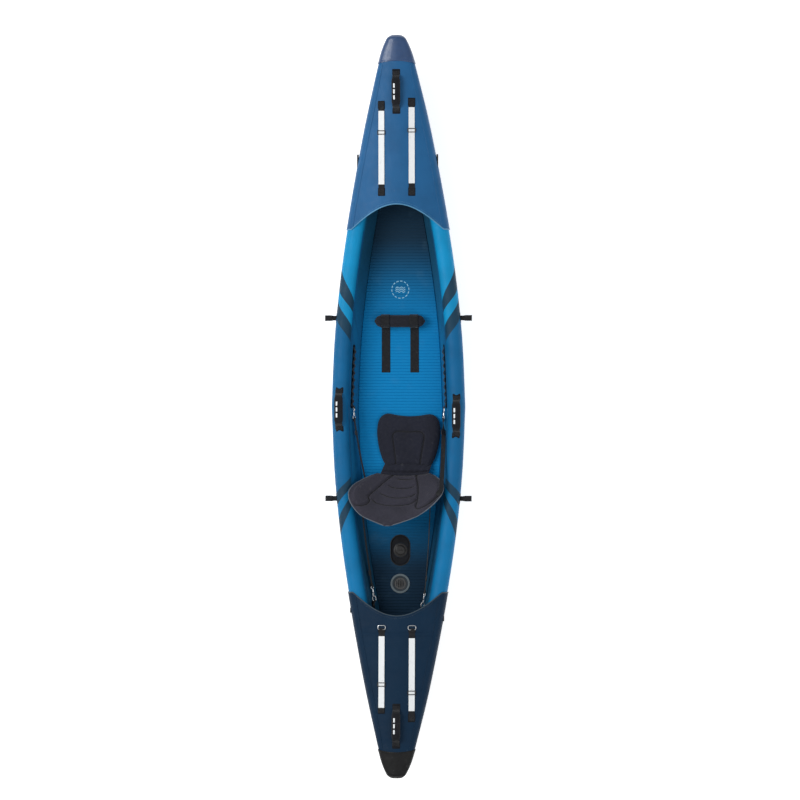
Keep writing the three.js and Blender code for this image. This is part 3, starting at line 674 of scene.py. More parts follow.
def side_chamber(name, side):
    """A side chamber's skin, with the pocket that its valve sits in."""
    stations = spread(-CHAMBER_END, CHAMBER_END, 150)
    rings = []
    for y in stations:
        s = Section(y)
        rings.append([(side * x, y, z) for x, z in (s.at(g) for g in skin_girths(s)[:-1])])
    skin = loft(f"{name}_side_skin", rings, HULL, us=skin_girths(Section(0)), vs=stations)
    cut(skin, prism(circle(VALVE_POCKET), -VALVE_DEPTH, 0.02, side_valve_frame(side)))
    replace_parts(skin, f"{name}_side_chamber")


def floor_chamber():
    """The inflated floor, with its valve pocket and the bore of the drain."""
    rings = []
    stations = spread(-FLOOR_END, FLOOR_END, 90)
    for y in stations:
        s = Section(y)
        half = CHAMBER / 2
        width = s.bottom_x - s.radius - GAP
        corner = min(half, width) - 0.0005
        ring = []
        for sx, sz, start in ((1, 1, 0), (-1, 1, 90), (-1, -1, 180), (1, -1, 270)):
            for degrees in spread(start, start + 90, 9):
                angle = math.radians(degrees)
                x = sx * (width - corner) + corner * math.cos(angle)
                ring.append((x, y, keel(y) + half + sz * (half - corner) + corner * math.sin(angle)))
        rings.append(ring)
    body = loft("floor_skin", rings, BOTTOM, vs=stations)
    cut(
        body,
        prism(circle(VALVE_POCKET), -VALVE_DEPTH, 0.02, on_centreline(FLOOR_VALVE_Y, floor_top)),
        prism(circle(DRAIN_BORE), -1.5 * CHAMBER, 0.02, on_centreline(DRAIN_Y, floor_top)),
    )
    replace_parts(body, "floor_chamber")


GROOVE_PITCH = 0.0174
GROOVE_DEPTH = 0.0022
WINDOW_WIDTH, WINDOW_LENGTH = 0.112, 0.178
DRAIN_SEAT = 0.0372


def stadium(width, length, count=32):
    """An oval outline: straight sides along Y with round ends."""
    radius = width / 2
    ends = []
    for sign, start in ((1, 0), (-1, math.pi)):
        ends += [(radius * math.cos(a), sign * (length / 2 - radius) + radius * math.sin(a))
                 for a in spread(start, start + math.pi, count)]
    return ends


def floor_pad():
    """The foam pad, with real grooves across it, its valve window and its drain hole."""
    profile = [(0.0, 0.0), (0.43, 0.0), (0.48, 1.0), (0.52, 1.0), (0.57, 0.0)]
    rows = []
    for k in range(round(2 * PAD_END / GROOVE_PITCH)):
        rows += [(-PAD_END + GROOVE_PITCH * (k + t), depth) for t, depth in profile]
    rows.append((PAD_END, 0.0))
    shares = [-1, -0.985, -0.8, -0.6, -0.4, -0.2, 0, 0.2, 0.4, 0.6, 0.8, 0.985, 1]
    top, bottom = [], []
    for y, depth in rows:
        edge = inner_wall_x(y, pad_top(y)) - 0.0025
        z = pad_top(y) - GROOVE_DEPTH * depth
        top.append([(edge * u, y, z - 0.003 * (abs(u) == 1)) for u in shares])
        bottom.append([(edge * u, y, floor_top(y) + GAP) for u in shares])
    pad = sheet("foam_floor", top, bottom, PAD, crease=30)
    window = stadium(WINDOW_WIDTH, WINDOW_LENGTH)
    cut(
        pad,
        prism(window, -0.03, 0.04, Matrix.Translation((0, FLOOR_VALVE_Y, floor_top(FLOOR_VALVE_Y)))),
        prism(circle(DRAIN_SEAT), -0.02, 0.02, on_centreline(DRAIN_Y, pad_top)),
    )
    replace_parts(pad, "floor_pad")


# ---- Decks and tip caps -----------------------------------------------------------------------

RIDGE = 0.8


def deck_point(share, y, end, lift):
    """A point of a deck's section: share runs from -1 at the port edge to 1 at the starboard edge."""
    line = DeckLine(y, end)
    reach, side = abs(share), (-1 if share < 0 else 1)
    if reach < RIDGE:
        x = side * line.leave_x * reach / RIDGE
        return Vector((x, y, line.height(x) + lift))
    angle = lerp(line.slope, math.pi / 2, (reach - RIDGE) / (1 - RIDGE))
    out = line.wrap + lift
    return Vector((side * (line.top_x + out * math.sin(angle)), y, line.top_z + out * math.cos(angle)))


def edge_reach(share, end):
    """How far from midships a deck's cockpit edge lies, at one share across the deck."""
    reference = end["crest"] - end["drop"] / 2
    return arch_y(deck_point(share, reference, end, 0).x, end)


def pucker(p, along):
    """Small soft wrinkles, strongest by the arch, that die out towards the tip and the sides."""
    fan = noise.noise(Vector((p.x * 26, p.y * 7, 3.1)))
    fan += 0.6 * noise.noise(Vector((p.x * 9, p.y * 16, 8.2)))
    return 0.0022 * fan * (1 - along) ** 2 + 0.0007 * noise.noise(p * 11)


def deck(end, cloth):
    """A deck's cloth, from its curved cockpit edge to the tip, folded down over both chambers."""
    shares = [*spread(-1, -RIDGE, 8)[:-1], *spread(-RIDGE, RIDGE, 40), *spread(RIDGE, 1, 8)[1:]]
    edges = [edge_reach(share, end) for share in shares]
    grids = {}
    for lift in (DECK_THICKNESS, 0.0):
        grids[lift] = []
        for along in spread(0, 1, 72):
            row = []
            for share, edge in zip(shares, edges):
                y = end["sign"] * lerp(edge, DECK_END, along)
                p = deck_point(share, y, end, lift)
                free = clamp((RIDGE - abs(share)) / 0.12) * clamp(along * 30)
                p.z += max(-0.0012, pucker(p, along)) * free
                row.append(p)
            grids[lift].append(row)
    top = grids[DECK_THICKNESS]
    piece = sheet(f"{end['name']}_deck_cloth", top, grids[0.0], cloth, crease=50)
    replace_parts(piece, f"{end['name']}_deck")
    return piece


def hull_ring(y, end, grow, shrink, notch=0.0):
    """The hull's outline at one station, deck and all: grow larger, then scaled by shrink.

    The ring is set back by notch on the centreline."""
    s, line = Section(y), DeckLine(y, end)
    half = [(line.leave_x * u, line.height(line.leave_x * u) + grow) for u in spread(0, 0.9, 6)]
    out = s.radius + grow
    for x, z, start, stop in (
        (s.top_x, s.top_z, line.slope, math.pi / 2 + s.tilt),
        (s.bottom_x, s.bottom_z, math.pi / 2 + s.tilt, math.pi),
    ):
        half += [(x + out * math.sin(a), z + out * math.cos(a)) for a in spread(start, stop, 10)]
    half.append((0, s.bottom_z - out))
    mirrored = [(-x, z) for x, z in half[-2:0:-1]]
    middle = (sheer(y) + keel(y)) / 2
    widest = s.top_x + out
    ring = []
    for x, z in [*half, *mirrored]:
        back = end["sign"] * notch * (1 - (x / widest) ** 2)
        ring.append((x * shrink, y + back, middle + (z - middle) * shrink))
    return ring


CAP_INSIDE = DECK_GAP + DECK_THICKNESS + 0.0008
CAP_WALL = 0.003
CAP_NOSE = 0.026
CAP_NOTCH = 0.017
CAP_INNER_END = 2.060


def tip_cap(end, rubber):
    """A moulded cap with a rolled rear lip and a rounded nose."""
    outside = CAP_INSIDE + CAP_WALL
    straight = HALF_LENGTH - CAP_NOSE
    rings = []
    for grow in (CAP_INSIDE, CAP_INSIDE + 0.0008, outside + 0.0008):
        rings.append(hull_ring(end["sign"] * CAP_START, end, grow, 1, CAP_NOTCH))
    for k, y in enumerate(spread(CAP_START + 0.001, straight, 30)):
        lip = 0.0011 * clamp((0.010 - (y - CAP_START)) / 0.003)
        rings.append(hull_ring(end["sign"] * y, end, outside + lip, 1, CAP_NOTCH * (1 - k / 30)))
    for angle in spread(0, math.pi / 2, 12)[1:]:
        y = straight + CAP_NOSE * math.sin(angle)
        rings.append(hull_ring(end["sign"] * y, end, outside, 0.45 + 0.55 * math.cos(angle)))
    inside = [hull_ring(end["sign"] * y, end, CAP_INSIDE, 1, CAP_NOTCH * clamp((2.0 - y) / 0.02))
              for y in spread(CAP_INNER_END, CAP_START, 8)]
    piece = loft(f"{end['name']}_cap_shell", [*inside, *rings], rubber, crease=45)
    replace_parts(piece, f"{end['name']}_cap")


for side_name, side_sign in SIDES:
    side_chamber(side_name, side_sign)
floor_chamber()
floor_pad()
for deck_end, deck_cloth, cap_rubber in ((BOW, BOW_CLOTH_LIT, BOW_CAP), (STERN, STERN_CLOTH_SHADED, STERN_CAP)):
    deck(deck_end, deck_cloth)
    tip_cap(deck_end, cap_rubber)

# ---- Materials of the fittings ----------------------------------------------------------------


def webbing(name, slot, tone, pitch=0.0022, shine=0.72, glint=0.0):
    """Woven tape: ribs across it, a fine weave between them and a little dust."""
    paint = Paint(name, slot, Specular_IOR_Level=0.3, Sheen_Weight=0.15)
    u, v, _ = paint.axes(paint.uv())
    rib = paint.calc("SINE", paint.calc("MULTIPLY", v, 2 * math.pi / pitch))
    thread = paint.weave(pitch / 2, paint.uv())
    dust = paint.calc("MULTIPLY", paint.ramp(paint.noise(30, 6), 0.55, 0.78), 0.16)
    # Painted shade: the troughs between the ribs are darkened towards 0.45 of the tape's colour.
    low = paint.ramp(rib, -1, 1, 0.35, 0.0)
    colour = paint.mix(low, tone, tuple(c * 0.45 for c in tone[:3]) + (1.0,))
    colour = paint.mix(dust, colour, rgb(96, 98, 100))
    rough = paint.ramp(paint.noise(80, 3), 0.3, 0.7, shine - 0.08 - glint, shine + 0.08 - glint)
    normal = paint.bump(rib, 0.0004, 0.55, paint.bump(thread, 0.00012, 0.4))
    return paint.finish(colour, rough, normal)


def canvas(name, slot, tone, thread, pitch=0.0019):
    """Heavy laminated polyester: a visible plain weave in two close shades, soft and a little dusty."""
    paint = Paint(name, slot, Specular_IOR_Level=0.22, Sheen_Weight=0.12, Sheen_Roughness=0.5)
    weave = paint.weave(pitch, paint.uv())
    colour = paint.mix(paint.ramp(weave, -0.6, 0.8), tone, thread)
    colour = paint.mix(paint.ramp(paint.noise(9, 5), 0.35, 0.75, 0.0, 0.30), colour, rgb(14, 15, 20))
    dust = paint.calc("MULTIPLY", paint.ramp(paint.noise(34, 7), 0.6, 0.8), 0.12)
    colour = paint.mix(dust, colour, rgb(120, 118, 122))
    rough = paint.ramp(paint.noise(60, 3), 0.3, 0.7, 0.74, 0.90)
    normal = paint.bump(weave, 0.0004, 0.5, paint.bump(paint.noise(26, 3), 0.0022, 0.25))
    return paint.finish(colour, rough, normal)


def plated(name, slot):
    """Nickel plate: bright, with fine scratches and duller patches."""
    paint = Paint(name, slot, Metallic=1.0)
    streaks = paint.noise(1, 6, paint.stretched(900, 120, 900))
    dull = paint.ramp(paint.noise(120, 5), 0.4, 0.75, 0.0, 0.35)
    colour = paint.mix(dull, rgb(222, 224, 226), rgb(158, 160, 164))
    rough = paint.ramp(streaks, 0.3, 0.7, 0.16, 0.34)
    return paint.finish(colour, rough, paint.bump(streaks, 0.00008, 0.5))


BLACK_WEB = webbing("black_webbing", "black_webbing", rgb(17, 19, 24))
REFLECTIVE = webbing("reflective_tape", "reflective_webbing", rgb(250, 253, 255), 0.0030, 0.50, 0.1)
SLEEVE = canvas("handle_neoprene", "handle_sleeve", rgb(16, 17, 22), rgb(24, 25, 31), 0.0012)
FOOT_CLOTH = canvas("footrest_cloth", "footrest_cover", rgb(26, 28, 36), rgb(35, 37, 47))
SEAT_CLOTH = canvas("seat_cloth", "seat_fabric", rgb(27, 29, 41), rgb(38, 40, 54))
BACK_CLOTH = canvas("backrest_cloth", "backrest_fabric", rgb(46, 45, 56), rgb(60, 58, 70))
BINDING = webbing("backrest_binding", "backrest_fabric", rgb(96, 104, 114), 0.0016)
DARK_BINDING = webbing("seat_binding", "seat_fabric", rgb(13, 13, 19), 0.0016)
NICKEL = plated("nickel_plate", "plated_steel")
VALVE_GREY = moulded("valve_plastic", "valve_plastic", rgb(24, 22, 22), 0.45)
DRAIN_GREY = moulded("drain_plastic", "drain_plastic", rgb(88, 100, 106), 0.40)
# Painted shade: a dark copy of the drain plastic for the drain's seat, where its recess is in shade.
DRAIN_SEAT_SHADE = moulded("drain_recess_shade", "drain_plastic", rgb(16, 34, 44), 0.45)
STRAINER_GREY = moulded("strainer_plastic", "drain_plastic", rgb(66, 66, 66), 0.5, 300, rgb(130, 132, 134))
RUBBER = moulded("black_rubber", "black_rubber", rgb(24, 24, 25), 0.55)
BLACK_PLASTIC = moulded("black_plastic", "black_plastic", rgb(26, 27, 30), 0.36)
ROD_GREY = moulded("rod_fibreglass", "arch_rod", rgb(148, 156, 160), 0.32)
PATCH = plain_cloth("black_patch", "black_webbing", rgb(15, 17, 22), 0.55, Specular_IOR_Level=0.15)
THREAD = moulded("sewing_thread", "seat_fabric", rgb(52, 54, 62), 0.6, 2500)
# Painted highlight: each hem is a lighter copy of its deck's cloth, for the light along the rolled edge.
BOW_HEM_HIGHLIGHT = plain_cloth("bow_hem_highlight", "bow_deck_fabric", rgb(84, 146, 186), 0.4)
STERN_HEM_HIGHLIGHT = plain_cloth("stern_hem_highlight", "stern_deck_fabric", rgb(44, 62, 76), 0.34)
TAPE = plain_cloth("seam_tape", "side_fabric", rgb(22, 92, 140), 0.36)

# ---- Shapes the fittings share ---------------------------------------------------------------


def middle_of(outline):
    """The mean of an outline's points."""
    return Vector((sum(x for x, _ in outline), sum(y for _, y in outline))) / len(outline)


class Shape:
    """Points and faces of several simple bodies, gathered into one piece."""

    def __init__(self):
        self.points, self.faces = [], []

    def add(self, points, faces):
        first = len(self.points)
        self.points += points
        self.faces += [tuple(first + k for k in face) for face in faces]
        return self

    def rings(self, rings, closed=False):
        """A body through rings of points: capped at both ends, or closed round into a loop."""
        count, last = len(rings[0]), len(rings) - (0 if closed else 1)
        faces = []
        for i in range(last):
            for j in range(count):
                a, b = i * count, ((i + 1) % len(rings)) * count
                faces.append((a + j, a + (j + 1) % count, b + (j + 1) % count, b + j))
        if not closed:
            faces += [tuple(range(count)), tuple(range((len(rings) - 1) * count, len(rings) * count))]
        return self.add([Vector(p) for ring in rings for p in ring], faces)

    def tube(self, path, radius, sides, closed=False):
        """A round bar along a path. radius is one size, or one for each point."""
        path = [Vector(p) for p in path]
        rings, side = [], None
        for k, p in enumerate(path):
            ahead = path[(k + 1) % len(path)] if closed or k + 1 < len(path) else p
            behind = path[k - 1] if closed or k else p
            tangent = (ahead - behind).normalized()
            side = side or tangent.orthogonal()
            side = (side - tangent * side.dot(tangent)).normalized()
            up = tangent.cross(side)
            r = radius[k] if isinstance(radius, (list, tuple)) else radius
            rings.append([p + side * r * math.cos(a) + up * r * math.sin(a)
                          for a in spread(0, 2 * math.pi, sides)[:-1]])
        return self.rings(rings, closed)

    def lathe(self, profile, segments, matrix):
        """A body turned about local Z from (radius, z) points that go round its closed section."""
        rings = [[matrix @ Vector((r * math.cos(a), r * math.sin(a), z)) for r, z in profile]
                 for a in spread(0, 2 * math.pi, segments)[:-1]]
        return self.rings(rings, closed=True)

    def block(self, outline, low, high, bevel, matrix=Matrix.Identity(4)):
        """An outline in XY from low to high with small bevels, about its own middle."""
        centre = middle_of(outline)
        rings = []
        for z, inset in ((low, bevel), (low + bevel, 0), (high - bevel, 0), (high, bevel)):
            ring = []
            for x, y in outline:
                out = Vector((x, y)) - centre
                out -= out.normalized() * inset
                ring.append(matrix @ Vector((*(centre + out), z)))
            rings.append(ring)
        return self.rings(rings)

    def make(self, name, material, **options):
        return make(name, self.points, self.faces, material, **options)


def rounded(width, height, corner, per_corner=5, centre=(0, 0)):
    """A rounded rectangle's outline."""
    x, y = width / 2 - corner, height / 2 - corner
    outline = []
    for sx, sy, start in ((1, 1, 0), (-1, 1, 90), (-1, -1, 180), (1, -1, 270)):
        corner_x, corner_y = centre[0] + sx * x, centre[1] + sy * y
        for a in spread(math.radians(start), math.radians(start + 90), per_corner):
            outline.append((corner_x + corner * math.cos(a), corner_y + corner * math.sin(a)))
    return outline


# Half of a tape's section, as shares of its width and thickness, and then the other half.
TAPE_EDGE = [(-0.5, 0.0), (-0.485, 0.4), (-0.44, 0.55), (-0.38, 0.42), (0.38, 0.42), (0.44, 0.55),
             (0.485, 0.4)]
TAPE_EDGE += [(-u, -t) for u, t in TAPE_EDGE]


def ribbon(name, path, across, width, thickness, material, cup=0.0, **options):
    """Webbing along a path, with thicker woven edges that turn away from it by cup.

    across, width and cup are one value, or one for each point."""
    path = [Vector(p) for p in path]
    rings, lengths = [], [0.0]
    for k, p in enumerate(path):
        tangent = (path[min(k + 1, len(path) - 1)] - path[max(k - 1, 0)]).normalized()
        side = Vector(across[k] if isinstance(across, list) else across)
        side = (side - tangent * side.dot(tangent)).normalized()
        normal = side.cross(tangent)
        wide = width[k] if isinstance(width, list) else width
        bend = cup[k] if isinstance(cup, list) else cup
        rings.append([p + side * u * wide + normal * (t * thickness + bend * (2 * u) ** 2)
                      for u, t in TAPE_EDGE])
        if k:
            lengths.append(lengths[-1] + (p - path[k - 1]).length)
    widest = max(width) if isinstance(width, list) else width
    us = [u * widest for u, _ in TAPE_EDGE]
    return loft(name, rings, material, us=[*us, us[0]], vs=lengths, crease=50, **options)


def smooth_path(points, step):
    """The curve through the points, at about even steps."""
    curve = [Vector(p) for p in through(points, 16)]
    kept = [curve[0]]
    for p in curve[1:-1]:
        if (p - kept[-1]).length >= step:
            kept.append(p)
    return [*kept, curve[-1]]


def patch(name, outline, surface, thickness, material, **options):
    """A welded patch: an outline laid on a surface, with a thin bevelled edge."""
    centre = middle_of(outline)
    rings = []
    under, edge = -0.0002, 0.0008
    for share, inset, lift in (
        (0.25, 0, under), (1, 0, under), (1, 0, thickness * 0.6), (1, edge, thickness),
        (0.8, 0, thickness), (0.55, 0, thickness), (0.25, 0, thickness),
    ):
        ring = []
        for x, y in outline:
            out = (Vector((x, y)) - centre) * share
            out -= out.normalized() * inset
            ring.append(surface(*(centre + out), lift))
        rings.append(ring)
    return Shape().rings(rings).make(name, material, crease=60, **options)


def deck_top(end):
    """A deck's outer face. Each of these makes a surface: a point from x, a station and a lift off it."""
    def surface(x, y, lift):
        line = DeckLine(y, end)
        return Vector((x, y, line.height(x) + DECK_THICKNESS + lift))
    return surface


def gunwale(side):
    """The round top of a side chamber: x is measured outward from its crown."""
    def surface(x, y, lift):
        s = Section(y)
        out, z = s.at(s.radius * (math.pi / 2 - s.tilt) + side * x, lift)
        return Vector((side * out, y, z))
    return surface


def outer_wall(side):
    """An outer wall: x is the distance below its top edge."""
    def surface(x, y, lift):
        s = Section(y)
        out, z = s.at(s.arc + x, lift)
        return Vector((side * out, y, z))
    return surface


def pad_surface(x, y, lift):
    return Vector((x, y, pad_top(y) + lift))


def moved(outline, x, y):
    return [(u + x, v + y) for u, v in outline]


def stitches(name, runs, body="hull", material=THREAD, spacing=0.0050, length=0.0034):
    """Rows of raised stitches. Each run is a list of points that already lie on the cloth."""
    thread = 0.00045
    shape = Shape()
    for run in runs:
        run = [Vector(p) for p in run]
        left = spacing / 2
        for a, b in zip(run, run[1:]):
            span = (b - a).length
            if span < 1e-7:
                continue
            direction = (b - a) / span
            while left <= span:
                middle = a + direction * left
                bar = [middle + direction * length * t for t in (-0.5, -0.3, 0.3, 0.5)]
                shape.tube(bar, [thread * 0.3, thread, thread, thread * 0.3], 5)
                left += spacing
            left -= span
    shape.make(name, material, body=body)


def box_stitch(surface, x, y, wide, long, lift):
    """A sewn box with a cross in it, as runs of points on a surface."""
    corners = [(x - wide / 2, y - long / 2), (x + wide / 2, y - long / 2),
               (x + wide / 2, y + long / 2), (x - wide / 2, y + long / 2)]
    lines = [(0, 1), (1, 2), (2, 3), (3, 0), (0, 2), (1, 3)]
    return [[surface(lerp(corners[a][0], corners[b][0], t), lerp(corners[a][1], corners[b][1], t), lift)
             for t in spread(0, 1, 8)] for a, b in lines]


# ---- Carry handles ----------------------------------------------------------------------------

HANDLE_WIDTH = 0.042
HANDLE_RISE = 0.026
GRIP_LENGTH, GRIP_WIDTH, GRIP_HEIGHT = 0.150, 0.050, 0.020
HANDLE_LIFT = 0.0012
WEB_THICKNESS = 0.0025
HANDLE_FOOT = 0.116
SLEEVE_MIDDLE = WEB_THICKNESS / 2 + HANDLE_RISE


def rise_path(sign):
    """One end of a handle's webbing, from its sewn foot up into the sleeve, in local (y, z)."""
    low, high = WEB_THICKNESS / 2, SLEEVE_MIDDLE
    half = GRIP_LENGTH / 2
    points = [(HANDLE_FOOT, low), (half + 0.030, low), (half + 0.020, low + 0.004),
              (half + 0.014, low + 0.013), (half + 0.007, high - 0.004), (half - 0.002, high),
              (half - 0.020, high)]
    return smooth_path([(0, sign * y, z) for y, z in points], 0.003)


def handle(name, side, y, end):
    """A carry handle on a deck, or on a side chamber where end is None."""
    body = f"{name}_handle"
    top = deck_top(end) if end else gunwale(side)
    level = (lambda station: deck_height(0, station, end) + DECK_THICKNESS) if end else sheer
    centre_x = side * (half_beam(y) - 0.046)
    place = on_centreline(y, level, HANDLE_LIFT, centre_x)
    offset = 0.004 * side if not end else 0.0
    runs = []
    for tag, sign in (("fore", 1), ("aft", -1)):
        path = rise_path(sign)
        feet = [clamp((abs(p.y) - 0.085) / 0.012) for p in path]
        hug = 0.0 if end else 0.0036
        web = ribbon(f"{name}_handle_web_{tag}", [place @ p for p in path],
                     place.to_3x3() @ Vector((1, 0, 0)), HANDLE_WIDTH, WEB_THICKNESS, BLACK_WEB,
                     cup=[sign * hug * foot for foot in feet], body=None)
        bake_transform(web)
        if tag == "fore":
            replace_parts(web, f"{name}_handle_webbing")
        outline = moved(rounded(0.046, 0.034, 0.005), offset, y + sign * 0.112)
        patch(f"{name}_handle_patch_{tag}", outline, top, 0.0010, PATCH)
        runs += box_stitch(top, offset, y + sign * 0.107, 0.028, 0.013, HANDLE_LIFT + WEB_THICKNESS + 0.0003)
    stitches(f"{name}_handle_stitching", runs)
    handle_grip(name, place, body)
    handle_dashes(name, place, body)


def grip_outline(wide, high):
    """A plump flat oval."""
    outline = []
    for a in spread(0, 2 * math.pi, 40)[:-1]:
        c, s = math.cos(a), math.sin(a)
        x = wide / 2 * math.copysign(abs(c) ** 0.62, c)
        z = high / 2 * math.copysign(abs(s) ** 0.9, s)
        outline.append((x, z))
    return outline


def handle_grip(name, place, body):
    """A padded sleeve, plump in the middle and drawn in at its two bound ends."""
    rings, vs = [], []
    half = GRIP_LENGTH / 2
    for y in [-half, -half + 0.001, *spread(-half + 0.004, half - 0.004, 30), half - 0.001, half]:
        near = clamp((half - abs(y)) / 0.016)
        bound = 0.84 + 0.16 * math.sqrt(near)
        high = GRIP_HEIGHT * (0.62 + 0.38 * math.sqrt(near)) * (1 + 0.02 * math.sin(y * 260))
        if abs(y) >= half - 0.0002:
            bound, high = bound * 0.96, high * 0.9
        outline = grip_outline(GRIP_WIDTH * bound, high)
        rings.append([place @ Vector((x, y, SLEEVE_MIDDLE + z)) for x, z in outline])
        vs.append(y)
    count = len(rings[0])
    us = [0.11 * k / count for k in range(count + 1)]
    grip = loft(f"{name}_handle_sleeve", rings, SLEEVE, us=us, vs=vs, body=body, crease=50)
    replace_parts(grip, f"{name}_handle_grip")


def handle_dashes(name, place, body):
    """Three plain reflective bars along one side of the sleeve, each in short pieces."""
    shape = Shape()
    near, far, piece = -0.006, -0.015, 0.004
    faces = [(0, 1, 2, 3), (4, 5, 6, 7), (0, 1, 5, 4), (1, 2, 6, 5), (2, 3, 7, 6), (3, 0, 4, 7)]
    for y in (-0.034, 0.0, 0.034):
        for step in spread(-0.012, 0.008, 5):
            start = y + step
            points = []
            for lift in (-0.0012, 0.0004):
                for x, v in ((far, start), (near, start), (near, start + piece), (far, start + piece)):
                    crown = 0.5 * GRIP_HEIGHT * (1 - (abs(x) / (GRIP_WIDTH / 2)) ** 3.2) ** 0.45
                    points.append(place @ Vector((x, v, SLEEVE_MIDDLE + crown + lift)))
            shape.add(points, faces)
    shape.make(f"{name}_handle_dashes", REFLECTIVE, body=body)


handle("bow", 0, 1.822, BOW)
handle("stern", 0, -1.848, STERN)
handle("port", -1, -0.017, None)
handle("starboard", 1, -0.055, None)

# ---- Paddle loops -------------------------------------------------------------------------------

LOOP_STATIONS = {"front": 0.515, "rear": -0.535}
LOOP_ROOT = 0.005
LOOP_REACH = 0.062
LOOP_WIDTH = 0.028


def paddle_loop(name, side, place, y):
    """A stiff webbing loop that stands out from a side chamber, with its stub and welded patch."""
    turn = Matrix.Rotation(0 if side > 0 else math.pi, 4, "Z")
    root = Matrix.Translation((side * (half_beam(y) + LOOP_ROOT), y, Section(y).top_z)) @ turn
    half, thick = 0.0078, 0.0022
    tip = LOOP_REACH - half - thick / 2
    upper = [(0.0, 0.0013), (0.012, 0.0015), (0.022, half - 0.001), (0.034, half), (tip, half)]
    bend = [(tip + half * math.sin(a), half * math.cos(a)) for a in spread(0.35, math.pi - 0.35, 6)]
    lower = [(x, -z) for x, z in upper[::-1]]
    path = smooth_path([(x, 0, z) for x, z in [*upper, *bend, *lower]], 0.0025)
    widths = [lerp(LOOP_WIDTH, 0.033, clamp((p.x - 0.010) / 0.016)) for p in path]
    label = f"{name}_{place}"
    across = root.to_3x3() @ Vector((0, 1, 0))
    loop = ribbon(f"{label}_loop_web", [root @ p for p in path], across, widths, thick, BLACK_WEB,
                  body=f"{label}_loop")
    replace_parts(loop, f"{label}_paddle_loop")
    stub = [root @ Vector((x, 0, 0)) for x in spread(-LOOP_ROOT - 0.002, 0.001, 4)]
    ribbon(f"{label}_loop_stub", stub, (0, 1, 0), LOOP_WIDTH, 0.0048, BLACK_WEB)
    outline = moved(rounded(0.052, 0.060, 0.016), 0.0, y)
    patch(f"{label}_loop_patch", outline, outer_wall(side), 0.0012, PATCH)


for loop_place, loop_y in LOOP_STATIONS.items():
    for side_name, side_sign in SIDES:
        paddle_loop(side_name, side_sign, loop_place, loop_y)

# ---- Cargo straps -------------------------------------------------------------------------------

CARGO_X = 0.088
CARGO_WIDTH = 0.036
# End of the strap by the cockpit, reflective stretch, end by the tip, and the slider's place.
CARGO_STRAPS = [
    ("bow_port", BOW, -1, 1.225, (1.286, 1.711), 1.763, 1.586),
    ("bow_starboard", BOW, 1, 1.225, (1.292, 1.731), 1.780, 1.598),
    ("stern_port", STERN, -1, 1.290, (1.330, 1.743), 1.772, 1.609),
    ("stern_starboard", STERN, 1, 1.290, (1.341, 1.761), 1.819, 1.656),
]


def along_deck(side, end, start, stop, lift, steps=40):
    """Points of a strap that lies along a deck, and the cross slope at each."""
    top = deck_top(end)
    x, half = side * CARGO_X, CARGO_WIDTH / 2
    stations = [end["sign"] * reach for reach in spread(start, stop, steps)]
    path = [top(x, y, lift) for y in stations]
    slopes = [top(x + half, y, lift) - top(x - half, y, lift) for y in stations]
    return path, slopes


def slider_bar(name, side, end, reach):
    """A plastic slider that the strap is threaded through: two rails joined by crossbars."""
    y = end["sign"] * reach
    top = deck_top(end)
    x = side * CARGO_X
    shape = Shape()
    for shift in (-0.5, 0.5):
        at = y + shift * 0.020 * end["sign"]
        shape.tube([top(x + u, at, 0.0052) for u in spread(-0.022, 0.022, 6)], 0.0026, 8)
    for u in (-0.0215, 0.0215):
        shape.tube([top(x + u, y + v, 0.0045) for v in spread(-0.0125, 0.0125, 4)], 0.0023, 8)
    shape.make(f"{name}_slider", BLACK_PLASTIC)


def cargo_strap(name, end, side, start, bright, stop, slider):
    """A strap sewn down at both ends, its reflective face and slider, and a ring at the stern ones."""
    path, slopes = along_deck(side, end, start, stop, 0.0024)
    strap = ribbon(f"{name}_cargo_web", path, slopes, CARGO_WIDTH, 0.0018, BLACK_WEB)
    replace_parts(strap, f"{name}_cargo_strap")
    path, slopes = along_deck(side, end, *bright, 0.0038, 60)
    ribbon(f"{name}_reflective_tape", path, slopes, CARGO_WIDTH - 0.001, 0.0011, REFLECTIVE)
    slider_bar(name, side, end, slider)
    top = deck_top(end)
    runs = []
    for tag, reach, inward in (("aft", start, 1), ("fore", stop, -1)):
        y = end["sign"] * (reach + inward * 0.018)
        outline = moved(rounded(0.042, 0.048, 0.004), side * CARGO_X, y)
        patch(f"{name}_strap_patch_{tag}", outline, top, 0.0012, PATCH)
        runs += box_stitch(top, side * CARGO_X, y, 0.026, 0.026, 0.0038)
    stitches(f"{name}_strap_stitching", runs)
    if end is STERN:
        strap_ring(name, side * CARGO_X, start, top)


def strap_ring(name, x, start, top):
    """A metal ring at the cockpit end of a strap, and the webbing that holds it."""
    ring = [top(x + u, -(start - 0.010) + v, 0.0045) for u, v in rounded(0.044, 0.024, 0.009)]
    Shape().tube(ring, 0.0024, 8, closed=True).make(f"{name}_strap_ring", NICKEL)
    fold = [(0.014, 0.0048), (0.004, 0.0060), (0.0, 0.0078), (-0.004, 0.0060), (-0.004, 0.0030),
            (0.004, 0.0024)]
    loop = [top(x, -(start + v), lift) for v, lift in fold]
    ribbon(f"{name}_ring_web", smooth_path(loop, 0.002), (1, 0, 0), 0.030, 0.0016, BLACK_WEB)


for cargo in CARGO_STRAPS:
    cargo_strap(*cargo)

# ---- Cushions ---------------------------------------------------------------------------------

SWELL_FRAMES = 20
SWELL_PRESSURE = 4.0


